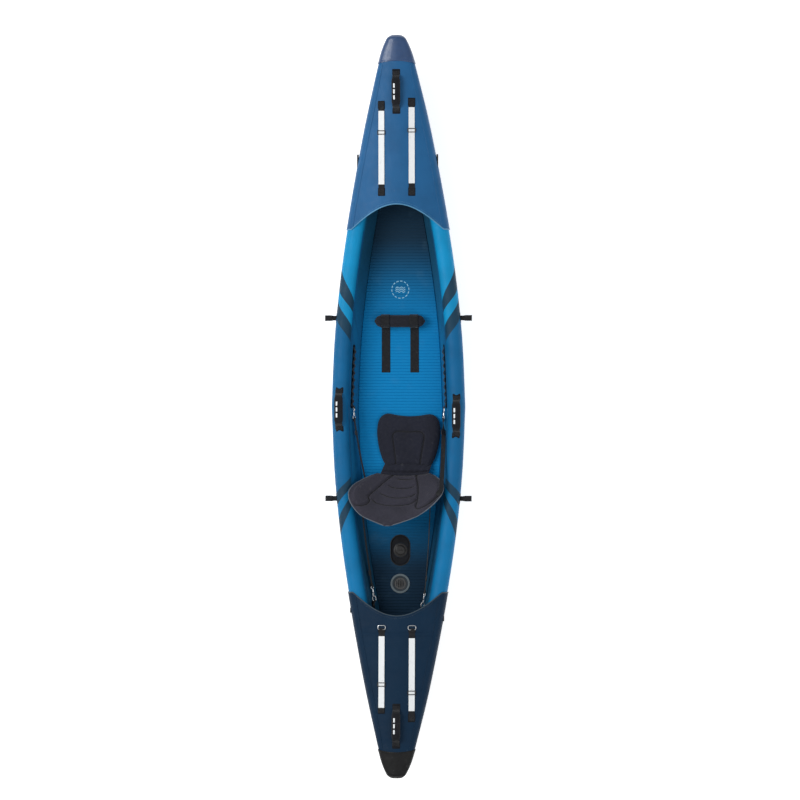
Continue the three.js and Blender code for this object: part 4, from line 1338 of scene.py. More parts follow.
def puffed(name, shape, cap, voxel=0.005, lowest=None):
    """A stuffed form: the shape swells as cloth under air pressure, and no point goes further than cap."""
    mesh = bpy.data.meshes.new(name)
    mesh.from_pydata([tuple(p) for p in shape.points], [], shape.faces)
    tidy(mesh)
    piece = add_object(name, mesh)
    scene = bpy.context.scene
    remesh = piece.modifiers.new("remesh", "REMESH")
    remesh.mode = "VOXEL"
    remesh.voxel_size = voxel
    apply_modifiers(piece)
    start = coordinates(piece.data)
    cloth = piece.modifiers.new("cloth", "CLOTH")
    cloth.settings.use_pressure = True
    cloth.settings.uniform_pressure_force = SWELL_PRESSURE
    cloth.settings.effector_weights.gravity = 0
    cloth.point_cache.frame_start = 1
    cloth.point_cache.frame_end = SWELL_FRAMES
    for step in range(1, SWELL_FRAMES + 1):
        scene.frame_set(step)
    apply_modifiers(piece)
    scene.frame_set(1)
    move = coordinates(piece.data) - start
    far = np.maximum(np.linalg.norm(move, axis=1, keepdims=True), 1e-9)
    points = start + move * np.minimum(1, cap / far)
    if lowest is not None:
        points[:, 2] = np.maximum(points[:, 2], lowest)
    set_coordinates(piece.data, points)
    subdivision = piece.modifiers.new("smooth", "SUBSURF")
    subdivision.levels = 1
    apply_modifiers(piece)
    return piece


def coordinates(mesh):
    """A mesh's points as rows of x, y and z."""
    values = np.empty(len(mesh.vertices) * 3, np.float32)
    mesh.vertices.foreach_get("co", values)
    return values.reshape(-1, 3).astype(float)


def set_coordinates(mesh, points):
    mesh.vertices.foreach_set("co", np.asarray(points, np.float32).ravel())
    mesh.update()


def distance_to(points, path):
    """How far each 2D point is from a path."""
    nearest = np.full(len(points), 1e3)
    path = np.array(path, float)
    for a, b in zip(path, path[1:]):
        along = b - a
        t = np.clip((points - a) @ along / max(along @ along, 1e-12), 0, 1)
        nearest = np.minimum(nearest, np.linalg.norm(points - a - t[:, None] * along, axis=1))
    return nearest


def press(piece, seams, flat, inward, depth, width):
    """Sewn channels: points near a seam sink inward. The seams are drawn on the two flat axes."""
    points = coordinates(piece.data)
    piece.data.update()
    normals = np.array([tuple(v.normal) for v in piece.data.vertices])
    front = np.clip(-(normals @ np.array(inward)) * 1.6, 0, 1)
    for seam in seams:
        near = distance_to(points[:, flat], seam)
        sink = depth * np.exp(-(near / width) ** 2) * front
        points += np.array(inward) * sink[:, None]
    set_coordinates(piece.data, points)


def flat_uvs(mesh):
    """Cloth coordinates in metres: each face takes the two axes that it lies along."""
    layer = mesh.uv_layers.get("flat") or mesh.uv_layers.new(name="flat")
    points = coordinates(mesh)
    uvs = np.empty((len(mesh.loops), 2), np.float32)
    for face in mesh.polygons:
        main = max(range(3), key=lambda k: abs(face.normal[k]))
        axes = [k for k in range(3) if k != main]
        for loop in face.loop_indices:
            uvs[loop] = points[mesh.loops[loop].vertex_index][axes]
    layer.data.foreach_set("uv", uvs.ravel())


def finish_cushion(piece, material, body, place):
    """Smooth shading, cloth coordinates and material; the tree finds its surface for what is sewn on it."""
    for face in piece.data.polygons:
        face.use_smooth = True
    flat_uvs(piece.data)
    work = bmesh.new()
    work.from_mesh(piece.data)
    tree = BVHTree.FromBMesh(work)
    work.free()
    piece.data.transform(place)
    piece.data.materials.append(material)
    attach(piece, body)
    return tree


def onto(tree, path, flat, inward, lift, place):
    """A path drawn on two axes, dropped onto a cushion's surface and lifted a little off it."""
    laid = []
    inward = Vector(inward)
    for pair in path:
        start = -inward * 0.3
        for k, axis in enumerate(flat):
            start[axis] = pair[k]
        hit = tree.ray_cast(start, inward)
        if hit[0] is not None:
            laid.append(place @ (hit[0] - inward * lift))
    return laid


def edge_path(tree, path, place, out):
    """A closed path pulled onto a cushion's own edge and smoothed."""
    centre = sum((Vector(p) for p in path), Vector()) / len(path)
    found = []
    for p in path:
        p = Vector(p)
        away = (p - centre).normalized()
        hit = tree.find_nearest(p + away * 0.02)[0]
        found.append(hit + away * out)
    count = len(found)
    for _ in range(3):
        found = [(found[k - 1] + found[k] * 2 + found[(k + 1) % count]) / 4 for k in range(count)]
    return [place @ p for p in found]


def offset_path(path, gap):
    """A 2D path moved sideways."""
    moved_path = []
    for k, p in enumerate(path):
        a, b = Vector(path[max(k - 1, 0)]), Vector(path[min(k + 1, len(path) - 1)])
        along = (b - a).normalized()
        moved_path.append((p[0] - along.y * gap, p[1] + along.x * gap))
    return moved_path


def seam_line(points):
    """A smooth 2D seam through points."""
    return [(p.x, p.y) for p in smooth_path([(x, y, 0) for x, y in points], 0.003)]


# ---- Seat --------------------------------------------------------------------------------------

SEAT_X, BACK_X = 0.047, 0.029
HINGE_Y = -0.368
SEAT_THICK = 0.042
BACK_HEIGHT = 0.420
BACK_THICK = 0.034
SEAT_Z = pad_top(HINGE_Y) + 0.0006
SEAT_PLACE = Matrix.Translation((SEAT_X, HINGE_Y, SEAT_Z)) @ Matrix.Rotation(math.radians(-1), 4, "Z")
BACK_FOOT = Matrix.Translation((BACK_X, HINGE_Y - 0.018, SEAT_Z + BACK_THICK / 2 + 0.012))
BACK_PLACE = BACK_FOOT @ Matrix.Rotation(math.radians(48), 4, "X")
# The backrest's widest half, how far up that lies, how far its wings wrap forward and its lean to port.
WING_HALF, WING_SHARE, WING_WRAP = 0.282, 0.495, 0.080
SLUMP = 0.082
HINGE_STRIP = 0.030


def seat_outline(inset=0.0):
    """The seat's plan outline: straight behind, bowed sides, and a front edge that dips in the middle."""
    half = [(0, 0.006), (0.060, 0.006), (0.118, 0.006), (0.136, 0.010), (0.160, 0.050), (0.181, 0.110),
            (0.193, 0.175), (0.196, 0.235), (0.188, 0.285), (0.168, 0.316), (0.138, 0.331),
            (0.110, 0.331), (0.060, 0.325), (0, 0.321)]
    right = smooth_path([(x, y, 0) for x, y in half], 0.006)
    outline = [(p.x, p.y) for p in right] + [(-p.x, p.y) for p in right[-2:0:-1]]
    centre = (0.0, 0.17)
    shrunk = []
    for x, y in outline:
        out = Vector((x - centre[0], y - centre[1]))
        out *= max(0.0, 1 - inset / out.length)
        shrunk.append((centre[0] + out.x, centre[1] + out.y))
    return shrunk


def seat_cushion():
    """The stuffed seat, dished where the sitter goes, with a sewn panel and a bound edge."""
    swell = 0.007
    shape = Shape().block(seat_outline(swell), swell * 0.3, SEAT_THICK - swell, 0.010)
    piece = puffed("seat_cushion", shape, swell, lowest=0.0008)
    side = [(0.070, 0.008), (0.074, 0.060), (0.084, 0.130), (0.092, 0.190), (0.080, 0.216), (0.050, 0.222)]
    panel = seam_line([*((-x, y) for x, y in side), (0, 0.219), *side[::-1]])
    flat, down = [0, 1], (0, 0, -1)
    points = coordinates(piece.data)
    inside = np.clip(1.2 - np.hypot(points[:, 0] / 0.115, (points[:, 1] - 0.13) / 0.150), 0, 1)
    points[:, 2] -= 0.005 * inside ** 0.7 * (points[:, 2] > SEAT_THICK / 2)
    set_coordinates(piece.data, points)
    press(piece, [panel], flat, down, 0.0085, 0.0062)
    tree = finish_cushion(piece, SEAT_CLOTH, "hull", SEAT_PLACE)
    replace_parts(piece, "seat_base")
    seam = onto(tree, panel, flat, down, 0.0002, SEAT_PLACE)
    Shape().tube(seam, 0.0024, 8).make("seat_panel_seam", DARK_BINDING, crease=60)
    stitches("seat_panel_stitching",
             [onto(tree, offset_path(panel, gap), flat, down, 0.0002, SEAT_PLACE) for gap in (-0.008, 0.008)])
    edge = edge_path(tree, [(x, y, SEAT_THICK * 0.5) for x, y in seat_outline()], SEAT_PLACE, 0.0006)
    Shape().tube(edge, 0.0022, 8, closed=True).make("seat_edge_binding", DARK_BINDING)


def back_half_width(height):
    """Half the backrest's width at one height, before its corners are rounded off."""
    share = height / BACK_HEIGHT
    rise = math.sin(min(share / WING_SHARE, 1) * math.pi / 2)
    fall = clamp((share - WING_SHARE) / (1 - WING_SHARE))
    return max(lerp(0.145, WING_HALF, rise) * (1 - fall ** 1.8) ** 0.62, 0.060)


def rim_corner(height):
    """How far the backrest's rounded corners draw it in at one height, from 0 to 1."""
    return clamp((BACK_HEIGHT - height) / 0.060) ** 0.5 * clamp((height + 0.004) / 0.030) ** 0.3


def back_point(x, height, lift=0.0):
    """A point near the backrest's middle surface. x is measured from its own centre line."""
    slumped = x - SLUMP * (max(height, 0) / BACK_HEIGHT) ** 1.1
    return Vector((slumped, WING_WRAP * (x / WING_HALF) ** 2 + lift, height))


def back_rim():
    """The backrest's rim as points of its middle surface, with its corners rounded off."""
    heights = [0.016, 0.020, 0.028, *spread(0.040, BACK_HEIGHT - 0.030, 60)]
    heights += [BACK_HEIGHT - below for below in (0.018, 0.010, 0.004)]
    right = [(back_half_width(height) * rim_corner(height), height) for height in heights]
    return right + [(-x, height) for x, height in right[::-1]]


def backrest_shape(swell):
    """A thin quilted shell along the middle surface, ready to swell."""
    rings = []
    for height in spread(0.016 + swell, BACK_HEIGHT - swell, 30):
        half = max(back_half_width(height) * rim_corner(height) - swell, 0.02)
        front, back = [], []
        for share in spread(-1, 1, 34):
            x = share * half
            edge = min(1.0, (1 - abs(share)) * half / 0.030)
            end = min(1.0, (height - 0.012) / 0.070, (BACK_HEIGHT - height) / 0.030)
            thick = (BACK_THICK / 2 - swell) * (0.45 + 0.55 * math.sqrt(max(0.0, min(edge, end))))
            front.append(back_point(x, height, thick))
            back.append(back_point(x, height, -thick))
        rings.append(front + back[::-1])
    return Shape().rings(rings)


def backrest_seams():
    """The quilting, drawn in local x and height: two wing seams and four channels across the middle."""
    left = seam_line([(-0.058, 0.014), (-0.100, 0.070), (-0.152, 0.143), (-0.198, 0.211), (-0.192, 0.243),
                      (-0.206, 0.272), (-0.240, 0.292), (-0.268, 0.292)])
    right = seam_line([(0.068, 0.014), (0.074, 0.060), (0.084, 0.120), (0.088, 0.181), (0.086, 0.240),
                       (0.080, 0.285), (0.094, 0.306), (0.130, 0.297), (0.170, 0.272), (0.205, 0.236),
                       (0.226, 0.202)])
    channels = [seam_line(points) for points in (
        [(-0.034, 0.060), (0.010, 0.063), (0.052, 0.060)],
        [(-0.082, 0.120), (-0.040, 0.130), (0.020, 0.131), (0.058, 0.124)],
        [(-0.128, 0.180), (-0.080, 0.200), (-0.020, 0.205), (0.040, 0.200), (0.070, 0.184)],
        [(-0.176, 0.232), (-0.150, 0.254), (-0.070, 0.264), (0.020, 0.262), (0.062, 0.250), (0.078, 0.232)],
    )]
    return left, right, channels


def backrest_cushion():
    """The stuffed backrest, its quilting, and the pale and dark halves of its bound edge."""
    swell = 0.006
    piece = puffed("backrest_cushion", backrest_shape(swell), swell)
    left, right, channels = backrest_seams()
    flat, back = [0, 2], (0, -1, 0)
    press(piece, [left, right], flat, back, 0.0105, 0.0070)
    press(piece, channels, flat, back, 0.0095, 0.0066)
    tree = finish_cushion(piece, BACK_CLOTH, "backrest", BACK_PLACE)
    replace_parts(piece, "seat_backrest")
    piping = Shape()
    for seam in (left, right, *channels):
        piping.tube(onto(tree, seam, flat, back, 0.0003, BACK_PLACE), 0.0030, 8)
    piping.make("backrest_quilting", DARK_BINDING, body="backrest", crease=60)
    rows = [onto(tree, offset_path(seam, gap), flat, back, 0.0003, BACK_PLACE)
            for seam in (left, right) for gap in (-0.009, 0.009)]
    stitches("backrest_stitching", rows, "backrest")
    rim = back_rim()
    edge = edge_path(tree, [back_point(x, height) for x, height in rim], BACK_PLACE, 0.0008)
    far = [p for p, (_, height) in zip(edge, rim) if height > HINGE_STRIP]
    Shape().tube(far, 0.0030, 8).make("backrest_edge_binding", BINDING, body="backrest")
    corner_x, corner_height = rim[0]
    low = [(x, height) for x, height in rim if x > 0 and height <= HINGE_STRIP][1:]
    foot = [(-x, height) for x, height in low[::-1]]
    foot += [(u * corner_x, corner_height) for u in spread(-1, 1, 30)]
    foot = [back_point(x, height) + Vector((0, 0, -0.02)) for x, height in [*foot, *low]]
    foot = [BACK_PLACE @ tree.find_nearest(p)[0] for p in foot]
    Shape().tube(foot, 0.0032, 8).make("backrest_foot_binding", DARK_BINDING, body="backrest")


seat_cushion()
backrest_cushion()

# ---- Footrest ----------------------------------------------------------------------------------

FOOT_Y = 0.499
FOOT_RADIUS = 0.040
FOOT_STRAP_X = 0.084
FOOT_STRAP_WIDTH = 0.050
FOOT_STRAP_END = 0.200
FOOT_AXIS_Z = pad_top(FOOT_Y) + GAP + 0.003 + FOOT_RADIUS + 0.001


def footrest_roll():
    """A stuffed tube with gathered ends, pinched where its straps go round."""
    swell = 0.006
    place = Matrix.Translation((0, FOOT_Y, FOOT_AXIS_Z)) @ Matrix.Rotation(math.pi / 2, 4, "Y")
    radius = FOOT_RADIUS - swell
    profile = [(radius * max(0, 1 - max(0, (abs(z) - 0.104) / 0.041) ** 2.1) ** 0.54 + 0.001, z)
               for z in spread(-0.145, 0.145, 60)]
    rings = [[Vector((r * math.cos(a), r * math.sin(a), z)) for a in spread(0, 2 * math.pi, 48)[:-1]]
             for r, z in profile]
    piece = puffed("footrest_cushion", Shape().rings(rings), swell, 0.0045)
    points = coordinates(piece.data)
    radial = np.hypot(points[:, 0], points[:, 1])
    turn = np.arctan2(points[:, 1], points[:, 0])
    pinch = sum(np.exp(-((points[:, 2] - side * FOOT_STRAP_X) / 0.030) ** 4) for side in (-1, 1))
    near_end = np.clip((np.abs(points[:, 2]) - 0.095) / 0.050, 0, 1)
    pleats = 0.0012 * near_end * np.cos(turn * 14 + np.sign(points[:, 2]))
    scale = 1 - (0.0024 * pinch + pleats) / np.maximum(radial, 0.004) * np.clip(radial / 0.02, 0, 1)
    points[:, 0] *= scale
    points[:, 1] *= scale
    set_coordinates(piece.data, points)
    finish_cushion(piece, FOOT_CLOTH, "footrest", place)
    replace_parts(piece, "footrest_roll")
    button = [(0.0096, 0.0), (0.0096, 0.0018), (0.0078, 0.0034), (0.0, 0.0042), (0.0, 0.0)]
    for label, side in SIDES:
        at = Matrix.Translation((side * 0.1435, FOOT_Y, FOOT_AXIS_Z))
        turned = Shape().lathe(button, 28, at @ Matrix.Rotation(side * math.pi / 2, 4, "Y"))
        turned.make(f"{label}_footrest_button", FOOT_CLOTH, body="footrest")


def footrest_strap(name, side):
    """A strap welded along the floor, and its loop round the roll."""
    x = side * FOOT_STRAP_X
    stations = spread(FOOT_STRAP_END, FOOT_Y + 0.010, 24)
    strap = ribbon(f"{name}_footrest_web", [pad_surface(x, y, GAP + 0.0014) for y in stations], (1, 0, 0),
                   FOOT_STRAP_WIDTH, 0.0022, BLACK_WEB)
    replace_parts(strap, f"{name}_footrest_strap")
    around = FOOT_RADIUS - 0.0012
    loop = [(x, FOOT_Y + around * math.sin(a), FOOT_AXIS_Z - around * math.cos(a))
            for a in spread(0.5, 5.78, 44)]
    ribbon(f"{name}_footrest_loop", loop, (1, 0, 0), FOOT_STRAP_WIDTH, 0.0016, BLACK_WEB, body="footrest")
    outline = moved(rounded(0.051, 0.030, 0.002), x, FOOT_STRAP_END + 0.014)
    patch(f"{name}_footrest_patch", outline, pad_surface, 0.0012, PATCH)
    thread_lift = GAP + 0.0031
    runs = box_stitch(pad_surface, x, FOOT_STRAP_END + 0.022, 0.038, 0.030, thread_lift)
    runs += box_stitch(pad_surface, x, FOOT_Y - 0.066, 0.038, 0.018, thread_lift)
    stitches(f"{name}_footrest_stitching", runs)


footrest_roll()
for side_name, side_sign in SIDES:
    footrest_strap(side_name, side_sign)

# ---- Hooks, stays and rails ---------------------------------------------------------------------

HOOK_LIFT = 0.0145
FRONT_HOOK_Y, FRONT_HOOK_Z, REAR_HOOK_Z = -0.060, 0.212, 0.205
REAR_HOOK_Y = {"port": -1.062, "starboard": -1.100}
STAY_WIDTH = 0.025
# Where the stays are sewn to the backrest: share of its half width, height and lift off its middle.
FRONT_ANCHORS = {"port": (-0.95, 0.080, -0.027), "starboard": (0.94, 0.210, 0.024)}
REAR_ANCHORS = {"port": (-0.72, 0.225, -0.025), "starboard": (0.72, 0.225, -0.025)}
RAIL_START, RAIL_END, RAIL_LIFT, RAIL_BOW = 0.004, 0.346, 0.003, 0.009
RING_LENGTH, RING_HEIGHT, RING_BAR = 0.034, 0.024, 0.0045
BEND_X = 0.046
BUCKLE_STEP = 12


def snap_hook(label, place, gate_body):
    """A cast hook: webbing eye, swivel barrel and bend, with a sprung leaf that closes it."""
    shape = Shape()
    eye = [place @ Vector((x, y, 0)) for x, y in rounded(0.0155, 0.0385, 0.005, centre=(-0.0030, 0))]
    shape.tube(eye, 0.0028, 10, closed=True)
    barrel = [(0.0, 0.004), (0.0052, 0.004), (0.0068, 0.0055), (0.0068, 0.0095), (0.0050, 0.0105),
              (0.0050, 0.0120), (0.0072, 0.0130), (0.0064, 0.0210), (0.0050, 0.0270), (0.0, 0.0285)]
    shape.lathe(barrel, 24, place @ Matrix.Rotation(math.pi / 2, 4, "Y"))
    bend = [(0.024, -0.001, 0), (0.028, -0.006, 0), (0.034, -0.0105, 0)]
    bend += [(0.043 + 0.0115 * math.cos(a), 0.0115 * math.sin(a), 0)
             for a in spread(math.radians(-78), math.radians(74), 14)]
    path = smooth_path(bend, 0.0012)
    radii = [lerp(0.0044, 0.0030, clamp(k / (len(path) * 0.5))) for k in range(len(path))]
    radii[-1] *= 0.55
    shape.tube([place @ p for p in path], radii, 12)
    hook = shape.make(f"{label}_snap_hook", NICKEL, crease=40)
    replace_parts(hook, f"{label}_hook")
    leaf = [(0.0265, 0.0085, 0), (0.031, 0.0070, 0), (0.037, 0.0090, 0), (0.0435, 0.0118, 0)]
    gate = Shape().tube([place @ p for p in smooth_path(leaf, 0.0012)], 0.0021, 10)
    thumb = [(0.030, 0.0075, 0), (0.0295, 0.0115, 0), (0.0275, 0.0140, 0)]
    gate.tube([place @ p for p in smooth_path(thumb, 0.001)], 0.0016, 8)
    pin = [place @ Vector((0.027, 0.008, z)) for z in (-0.0034, -0.0030, 0.0030, 0.0034)]
    gate.tube(pin, [0.0012, 0.0018, 0.0018, 0.0012], 10)
    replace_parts(gate.make(f"{label}_snap_leaf", NICKEL, body=gate_body), f"{label}_hook_gate")


def d_ring(label, place):
    """A ring in the hook's XZ plane, held by a sewn tab on a welded patch."""
    middle = BEND_X + (RING_LENGTH - RING_BAR) / 2
    outline = rounded(RING_LENGTH - RING_BAR, RING_HEIGHT - RING_BAR, 0.008, 7, (middle, 0))
    ring = [place @ Vector((x, 0, z)) for x, z in outline]
    piece = Shape().tube(ring, RING_BAR / 2, 12, closed=True).make(f"{label}_ring", NICKEL)
    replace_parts(piece, f"{label}_d_ring")
    far = BEND_X + RING_LENGTH - RING_BAR
    wall = 0.0018 - HOOK_LIFT
    fold = [(0.030, wall + 0.0012), (0.016, wall + 0.0020), (0.006, -0.0040), (-0.0034, -0.0010),
            (-0.0036, 0.0022), (0.0, 0.0040), (0.0036, 0.0022), (0.0075, -0.0030), (0.018, wall + 0.0042),
            (0.031, wall + 0.0034)]
    path = smooth_path([place @ Vector((far + x, 0, z)) for x, z in fold], 0.002)
    ribbon(f"{label}_ring_tab", path, place.to_3x3() @ Vector((0, 1, 0)), 0.020, 0.0016, BLACK_WEB)
    out = place.to_3x3() @ Vector((0, 0, 1))
    flat = [place @ Vector((far + 0.022 + x, y, wall - 0.0012)) for x, y in rounded(0.050, 0.050, 0.022)]
    raised = [p + out * 0.0014 for p in flat]
    centre = sum(raised, Vector()) / len(raised)
    inner = [centre.lerp(p, 0.93) + out * 0.0004 for p in raised]
    Shape().rings([flat, raised, inner]).make(f"{label}_ring_patch", PATCH, crease=60)


def stay(label, hook_place, anchor, side, on_front):
    """A webbing stay from a hook's eye to the backrest, with its loop, adjuster and sewn end.

    A stay that ends on the backrest's front turns its flat side up on the way there."""
    share, height, lift = anchor
    x = share * back_half_width(height)
    target = BACK_PLACE @ back_point(x, height, lift)
    eye = hook_place @ Vector((-0.014, 0, 0))
    across = hook_place.to_3x3() @ Vector((0, 1, 0))
    sag = Vector((side * 0.004, 0, -0.006))
    path = [eye.lerp(target, t) + sag * math.sin(math.pi * t) for t in spread(0, 1, 40)]
    inner = x * 0.93
    sewn_lift = 0.0165 if on_front else -0.0175
    for t in (0.35, 0.65, 1.0):
        sewn = lerp(lift, sewn_lift, min(1, 1.6 * t))
        path.append(BACK_PLACE @ back_point(lerp(x, inner, t), height + 0.028 * t, sewn))
    path = smooth_path(path[::2] if len(path) % 2 else [*path[::2], path[-1]], 0.006)
    flat = Vector((1, 0, 0)) if on_front else across
    sides = [across.lerp(flat, clamp(k / (0.3 * len(path)))) for k in range(len(path))]
    strap = ribbon(f"{label}_stay_web", path, sides, STAY_WIDTH, 0.0018, BLACK_WEB, body=None)
    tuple(path[BUCKLE_STEP + 4])
    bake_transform(strap)
    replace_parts(strap, f"{label}_stay")
    fold = [(-0.030, -0.0016), (-0.016, -0.0030), (-0.0105, -0.0046), (-0.0058, -0.0026), (-0.0050, 0.0),
            (-0.0058, 0.0026), (-0.0105, 0.0046), (-0.016, 0.0030), (-0.030, 0.0018)]
    away = (hook_place.inverted() @ path[3]).normalized()
    drift = Vector((0, away.y, away.z))
    loop = [hook_place @ (Vector((px, 0, pz)) + drift * max(0, -px - 0.014)) for px, pz in fold]
    ribbon(f"{label}_stay_loop", smooth_path(loop, 0.002), across, STAY_WIDTH, 0.0016, BLACK_WEB)
    along = (path[BUCKLE_STEP + 1] - path[BUCKLE_STEP - 1]).normalized()
    adjuster(f"{label}_adjuster", path[BUCKLE_STEP], along, sides[BUCKLE_STEP])


def adjuster(name, centre, along, across):
    """A ladder buckle: a plastic frame with two crossbars."""
    across = (across - along * across.dot(along)).normalized()
    normal = along.cross(across)
    shape = Shape()
    frame = [centre + along * y + across * x + normal * 0.0008 for x, y in rounded(0.0330, 0.0300, 0.005)]
    shape.tube(frame, 0.0024, 8, closed=True)
    for step in (-0.0055, 0.0055):
        bar = [centre + along * step + across * x + normal * 0.0034 for x in (-0.0165, -0.012, 0.012, 0.0165)]
        shape.tube(bar, [0.0018, 0.0021, 0.0021, 0.0018], 8)
    shape.make(name, BLACK_PLASTIC)


def side_rail(name, side):
    """A webbing daisy chain: flat at each bar tack and slightly bowed between them."""
    tacks = spread(RAIL_START + 0.006, RAIL_END - 0.006, 8)
    gap = tacks[1] - tacks[0]
    path = []
    for y in spread(RAIL_START, RAIL_END, 130):
        bow = 0.5 - 0.5 * math.cos(2 * math.pi * (y - tacks[0]) / gap)
        lift = RAIL_LIFT - 0.0016 + (RAIL_BOW * bow if tacks[0] < y < tacks[-1] else 0)
        path.append(on_wall(side, y, FRONT_HOOK_Z, lift) @ Vector())
    up = on_wall(side, 0.17, FRONT_HOOK_Z).to_3x3() @ Vector((0, 1, 0))
    rail = ribbon(f"{name}_rail_web", path, up, STAY_WIDTH, 0.0018, BLACK_WEB)
    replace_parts(rail, f"{name}_side_rail")
    runs = []
    for y in tacks:
        for shift in (-0.0016, 0.0016):
            place = on_wall(side, y + shift, FRONT_HOOK_Z, RAIL_LIFT - 0.0006)
            runs.append([place @ Vector((0, v, 0)) for v in spread(-0.010, 0.010, 8)])
    stitches(f"{name}_rail_tacks", runs, spacing=0.0026, length=0.0022)
    backing = rounded(RAIL_END - RAIL_START + 0.030, 0.040, 0.012, centre=(0.175, 0))
    rings = [[on_wall(side, x, FRONT_HOOK_Z, lift) @ Vector((0, v * share, 0)) for x, v in backing]
             for lift, share in ((-0.0002, 1), (0.0005, 1), (0.0008, 0.96))]
    Shape().rings(rings).make(f"{name}_rail_backing", PATCH, crease=60)
    hook = on_wall(side, FRONT_HOOK_Y, FRONT_HOOK_Z, HOOK_LIFT)
    end = hook.inverted() @ path[0]
    fold = [(end.x + 0.012, end.z + 0.0018), (end.x, end.z + 0.002), (0.0590, -0.0060), (0.0505, -0.0040),
            (0.0478, 0.0), (0.0505, 0.0042), (0.0590, 0.0020), (end.x + 0.004, end.z + 0.0060),
            (end.x + 0.016, end.z + 0.0040)]
    loop = smooth_path([hook @ Vector((x, 0, z)) for x, z in fold], 0.002)
    ribbon(f"{name}_rail_loop", loop, up, 0.020, 0.0016, BLACK_WEB)


for side_name, side_sign in SIDES:
    front = on_wall(side_sign, FRONT_HOOK_Y, FRONT_HOOK_Z, HOOK_LIFT)
    snap_hook(f"{side_name}_front", front, f"{side_name}_front_gate")
    stay(f"{side_name}_front", front, FRONT_ANCHORS[side_name], side_sign, side_sign > 0)
    rear = on_wall(side_sign, REAR_HOOK_Y[side_name], REAR_HOOK_Z, HOOK_LIFT)
    rear = rear @ Matrix.Rotation(math.pi, 4, "Z")
    snap_hook(f"{side_name}_rear", rear, f"{side_name}_rear_gate")
    d_ring(f"{side_name}_rear", rear)
    stay(f"{side_name}_rear", rear, REAR_ANCHORS[side_name], side_sign, False)
    side_rail(side_name, side_sign)


def hinge_flap():
    """The stuffed fold of cloth that joins the seat to the backrest."""
    columns = spread(-1, 1, 40)
    rows = spread(0, 1, 18)
    top, bottom, us, vs = [], [], [], []
    for t in rows:
        upper, lower = [], []
        for u in columns:
            seat = SEAT_PLACE @ Vector((0.137 * u, 0.030, SEAT_THICK - 0.016 - 0.004 * u * u))
            back = BACK_PLACE @ back_point(0.141 * u, 0.026, -0.010)
            p = seat.lerp(back, t)
            crease = 0.0014 * math.sin(u * 23 + t * 3) * math.sin(math.pi * t)
            dip = 0.009 * math.exp(-((t - 0.66) / 0.10) ** 2) + crease
            plump = 0.007 * math.sin(math.pi * clamp(t / 0.66)) * math.sqrt(max(0, 1 - u ** 8))
            upper.append(p + Vector((0, 0, 0.004 + plump - dip)))
            lower.append(p - Vector((0, 0, 0.004 + dip)))
        top.append(upper)
        bottom.append(lower)
        us.append([0.135 * u for u in columns])
        vs.append([0.07 * t] * len(columns))
    flap = sheet("seat_hinge_flap", top, bottom, SEAT_CLOTH, us, vs, body=None, crease=70)
    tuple(top[1][20])
    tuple(top[-2][20])
    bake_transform(flap)


hinge_flap()

# ---- Valves, drain and fin box ------------------------------------------------------------------

VALVE_CLEAR = 0.0435    # the black oval stays this far from the floor valve's middle
SPRING_RADIUS = 0.0062
SPRING_TURNS = 5
SPRING_FOOT, SPRING_TOP = -0.0325, -0.0190


def ribs(shape, place, count, bar, radii):
    """Short raised ribs set round local Z, each along the same (x, z) points."""
    for angle in spread(0, 2 * math.pi, count)[:-1]:
        turn = place @ Matrix.Rotation(angle, 4, "Z")
        shape.tube([turn @ Vector((x, 0, z)) for x, z in bar], radii, 6)


def valve(label, place):
    """A Boston-style inflation valve: ribbed flange, sprung poppet, hinged cap and its tether."""
    body = Shape().lathe([
        (0.023, 0.005), (0.0385, 0.005), (0.0395, 0.0046), (0.0415, 0.0032), (0.042, 0.0026),
        (0.042, 0.0004), (0.027, 0.0004), (0.027, -0.038), (0.006, -0.038), (0.006, -0.034),
        (0.023, -0.034)], 64, place)
    ribs(body, place, 24, [(x, 0.0046) for x in (0.0325, 0.034, 0.0375, 0.0385)],
         [0.0004, 0.0008, 0.0008, 0.0004])
    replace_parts(body.make(f"{label}_valve_flange", VALVE_GREY, crease=30), f"{label}_valve_body")
    pin = Shape().lathe([
        (0.0, -0.0125), (0.004, -0.0118), (0.0066, -0.0122), (0.008, -0.0135), (0.008, -0.018),
        (0.0045, -0.018), (0.0045, -0.0384), (0.0135, -0.0384), (0.014, -0.0392), (0.014, -0.0419),
        (0.0, -0.0419)], 32, place)
    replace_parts(pin.make(f"{label}_valve_plunger", RUBBER, body=f"{label}_valve_poppet", crease=30),
                f"{label}_valve_pin")
    valve_spring(label, place)
    cap = Shape().lathe([
        (0.0, 0.0054), (0.0300, 0.0054), (0.0300, 0.0086), (0.0296, 0.0125), (0.0280, 0.0140),
        (0.0245, 0.0156), (0.0225, 0.0160), (0.0215, 0.0148), (0.0140, 0.0146), (0.0130, 0.0156),
        (0.0050, 0.0158), (0.0, 0.0156)], 64, place)
    ribs(cap, place, 36, [(0.0298, z) for z in (0.0064, 0.0072, 0.0118, 0.0124)],
         [0.0003, 0.0008, 0.0008, 0.0003])
    cap.tube([place @ Vector((x, 0, 0.0158)) for x in (-0.0125, -0.0105, 0.0105, 0.0125)],
             [0.0008, 0.0024, 0.0024, 0.0008], 10)
    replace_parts(cap.make(f"{label}_valve_lid", VALVE_GREY, body=f"{label}_valve_lid", crease=30),
                f"{label}_valve_cap")
    leash = [(0.0275, 0, 0.0065), (0.0320, 0, 0.0072), (0.0350, 0, 0.0064), (0.0375, 0, 0.0056)]
    strap = ribbon(f"{label}_valve_leash", [place @ p for p in smooth_path(leash, 0.001)],
                   place.to_3x3() @ Vector((0, 1, 0)), 0.008, 0.0014, RUBBER, body=None)
    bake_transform(strap)


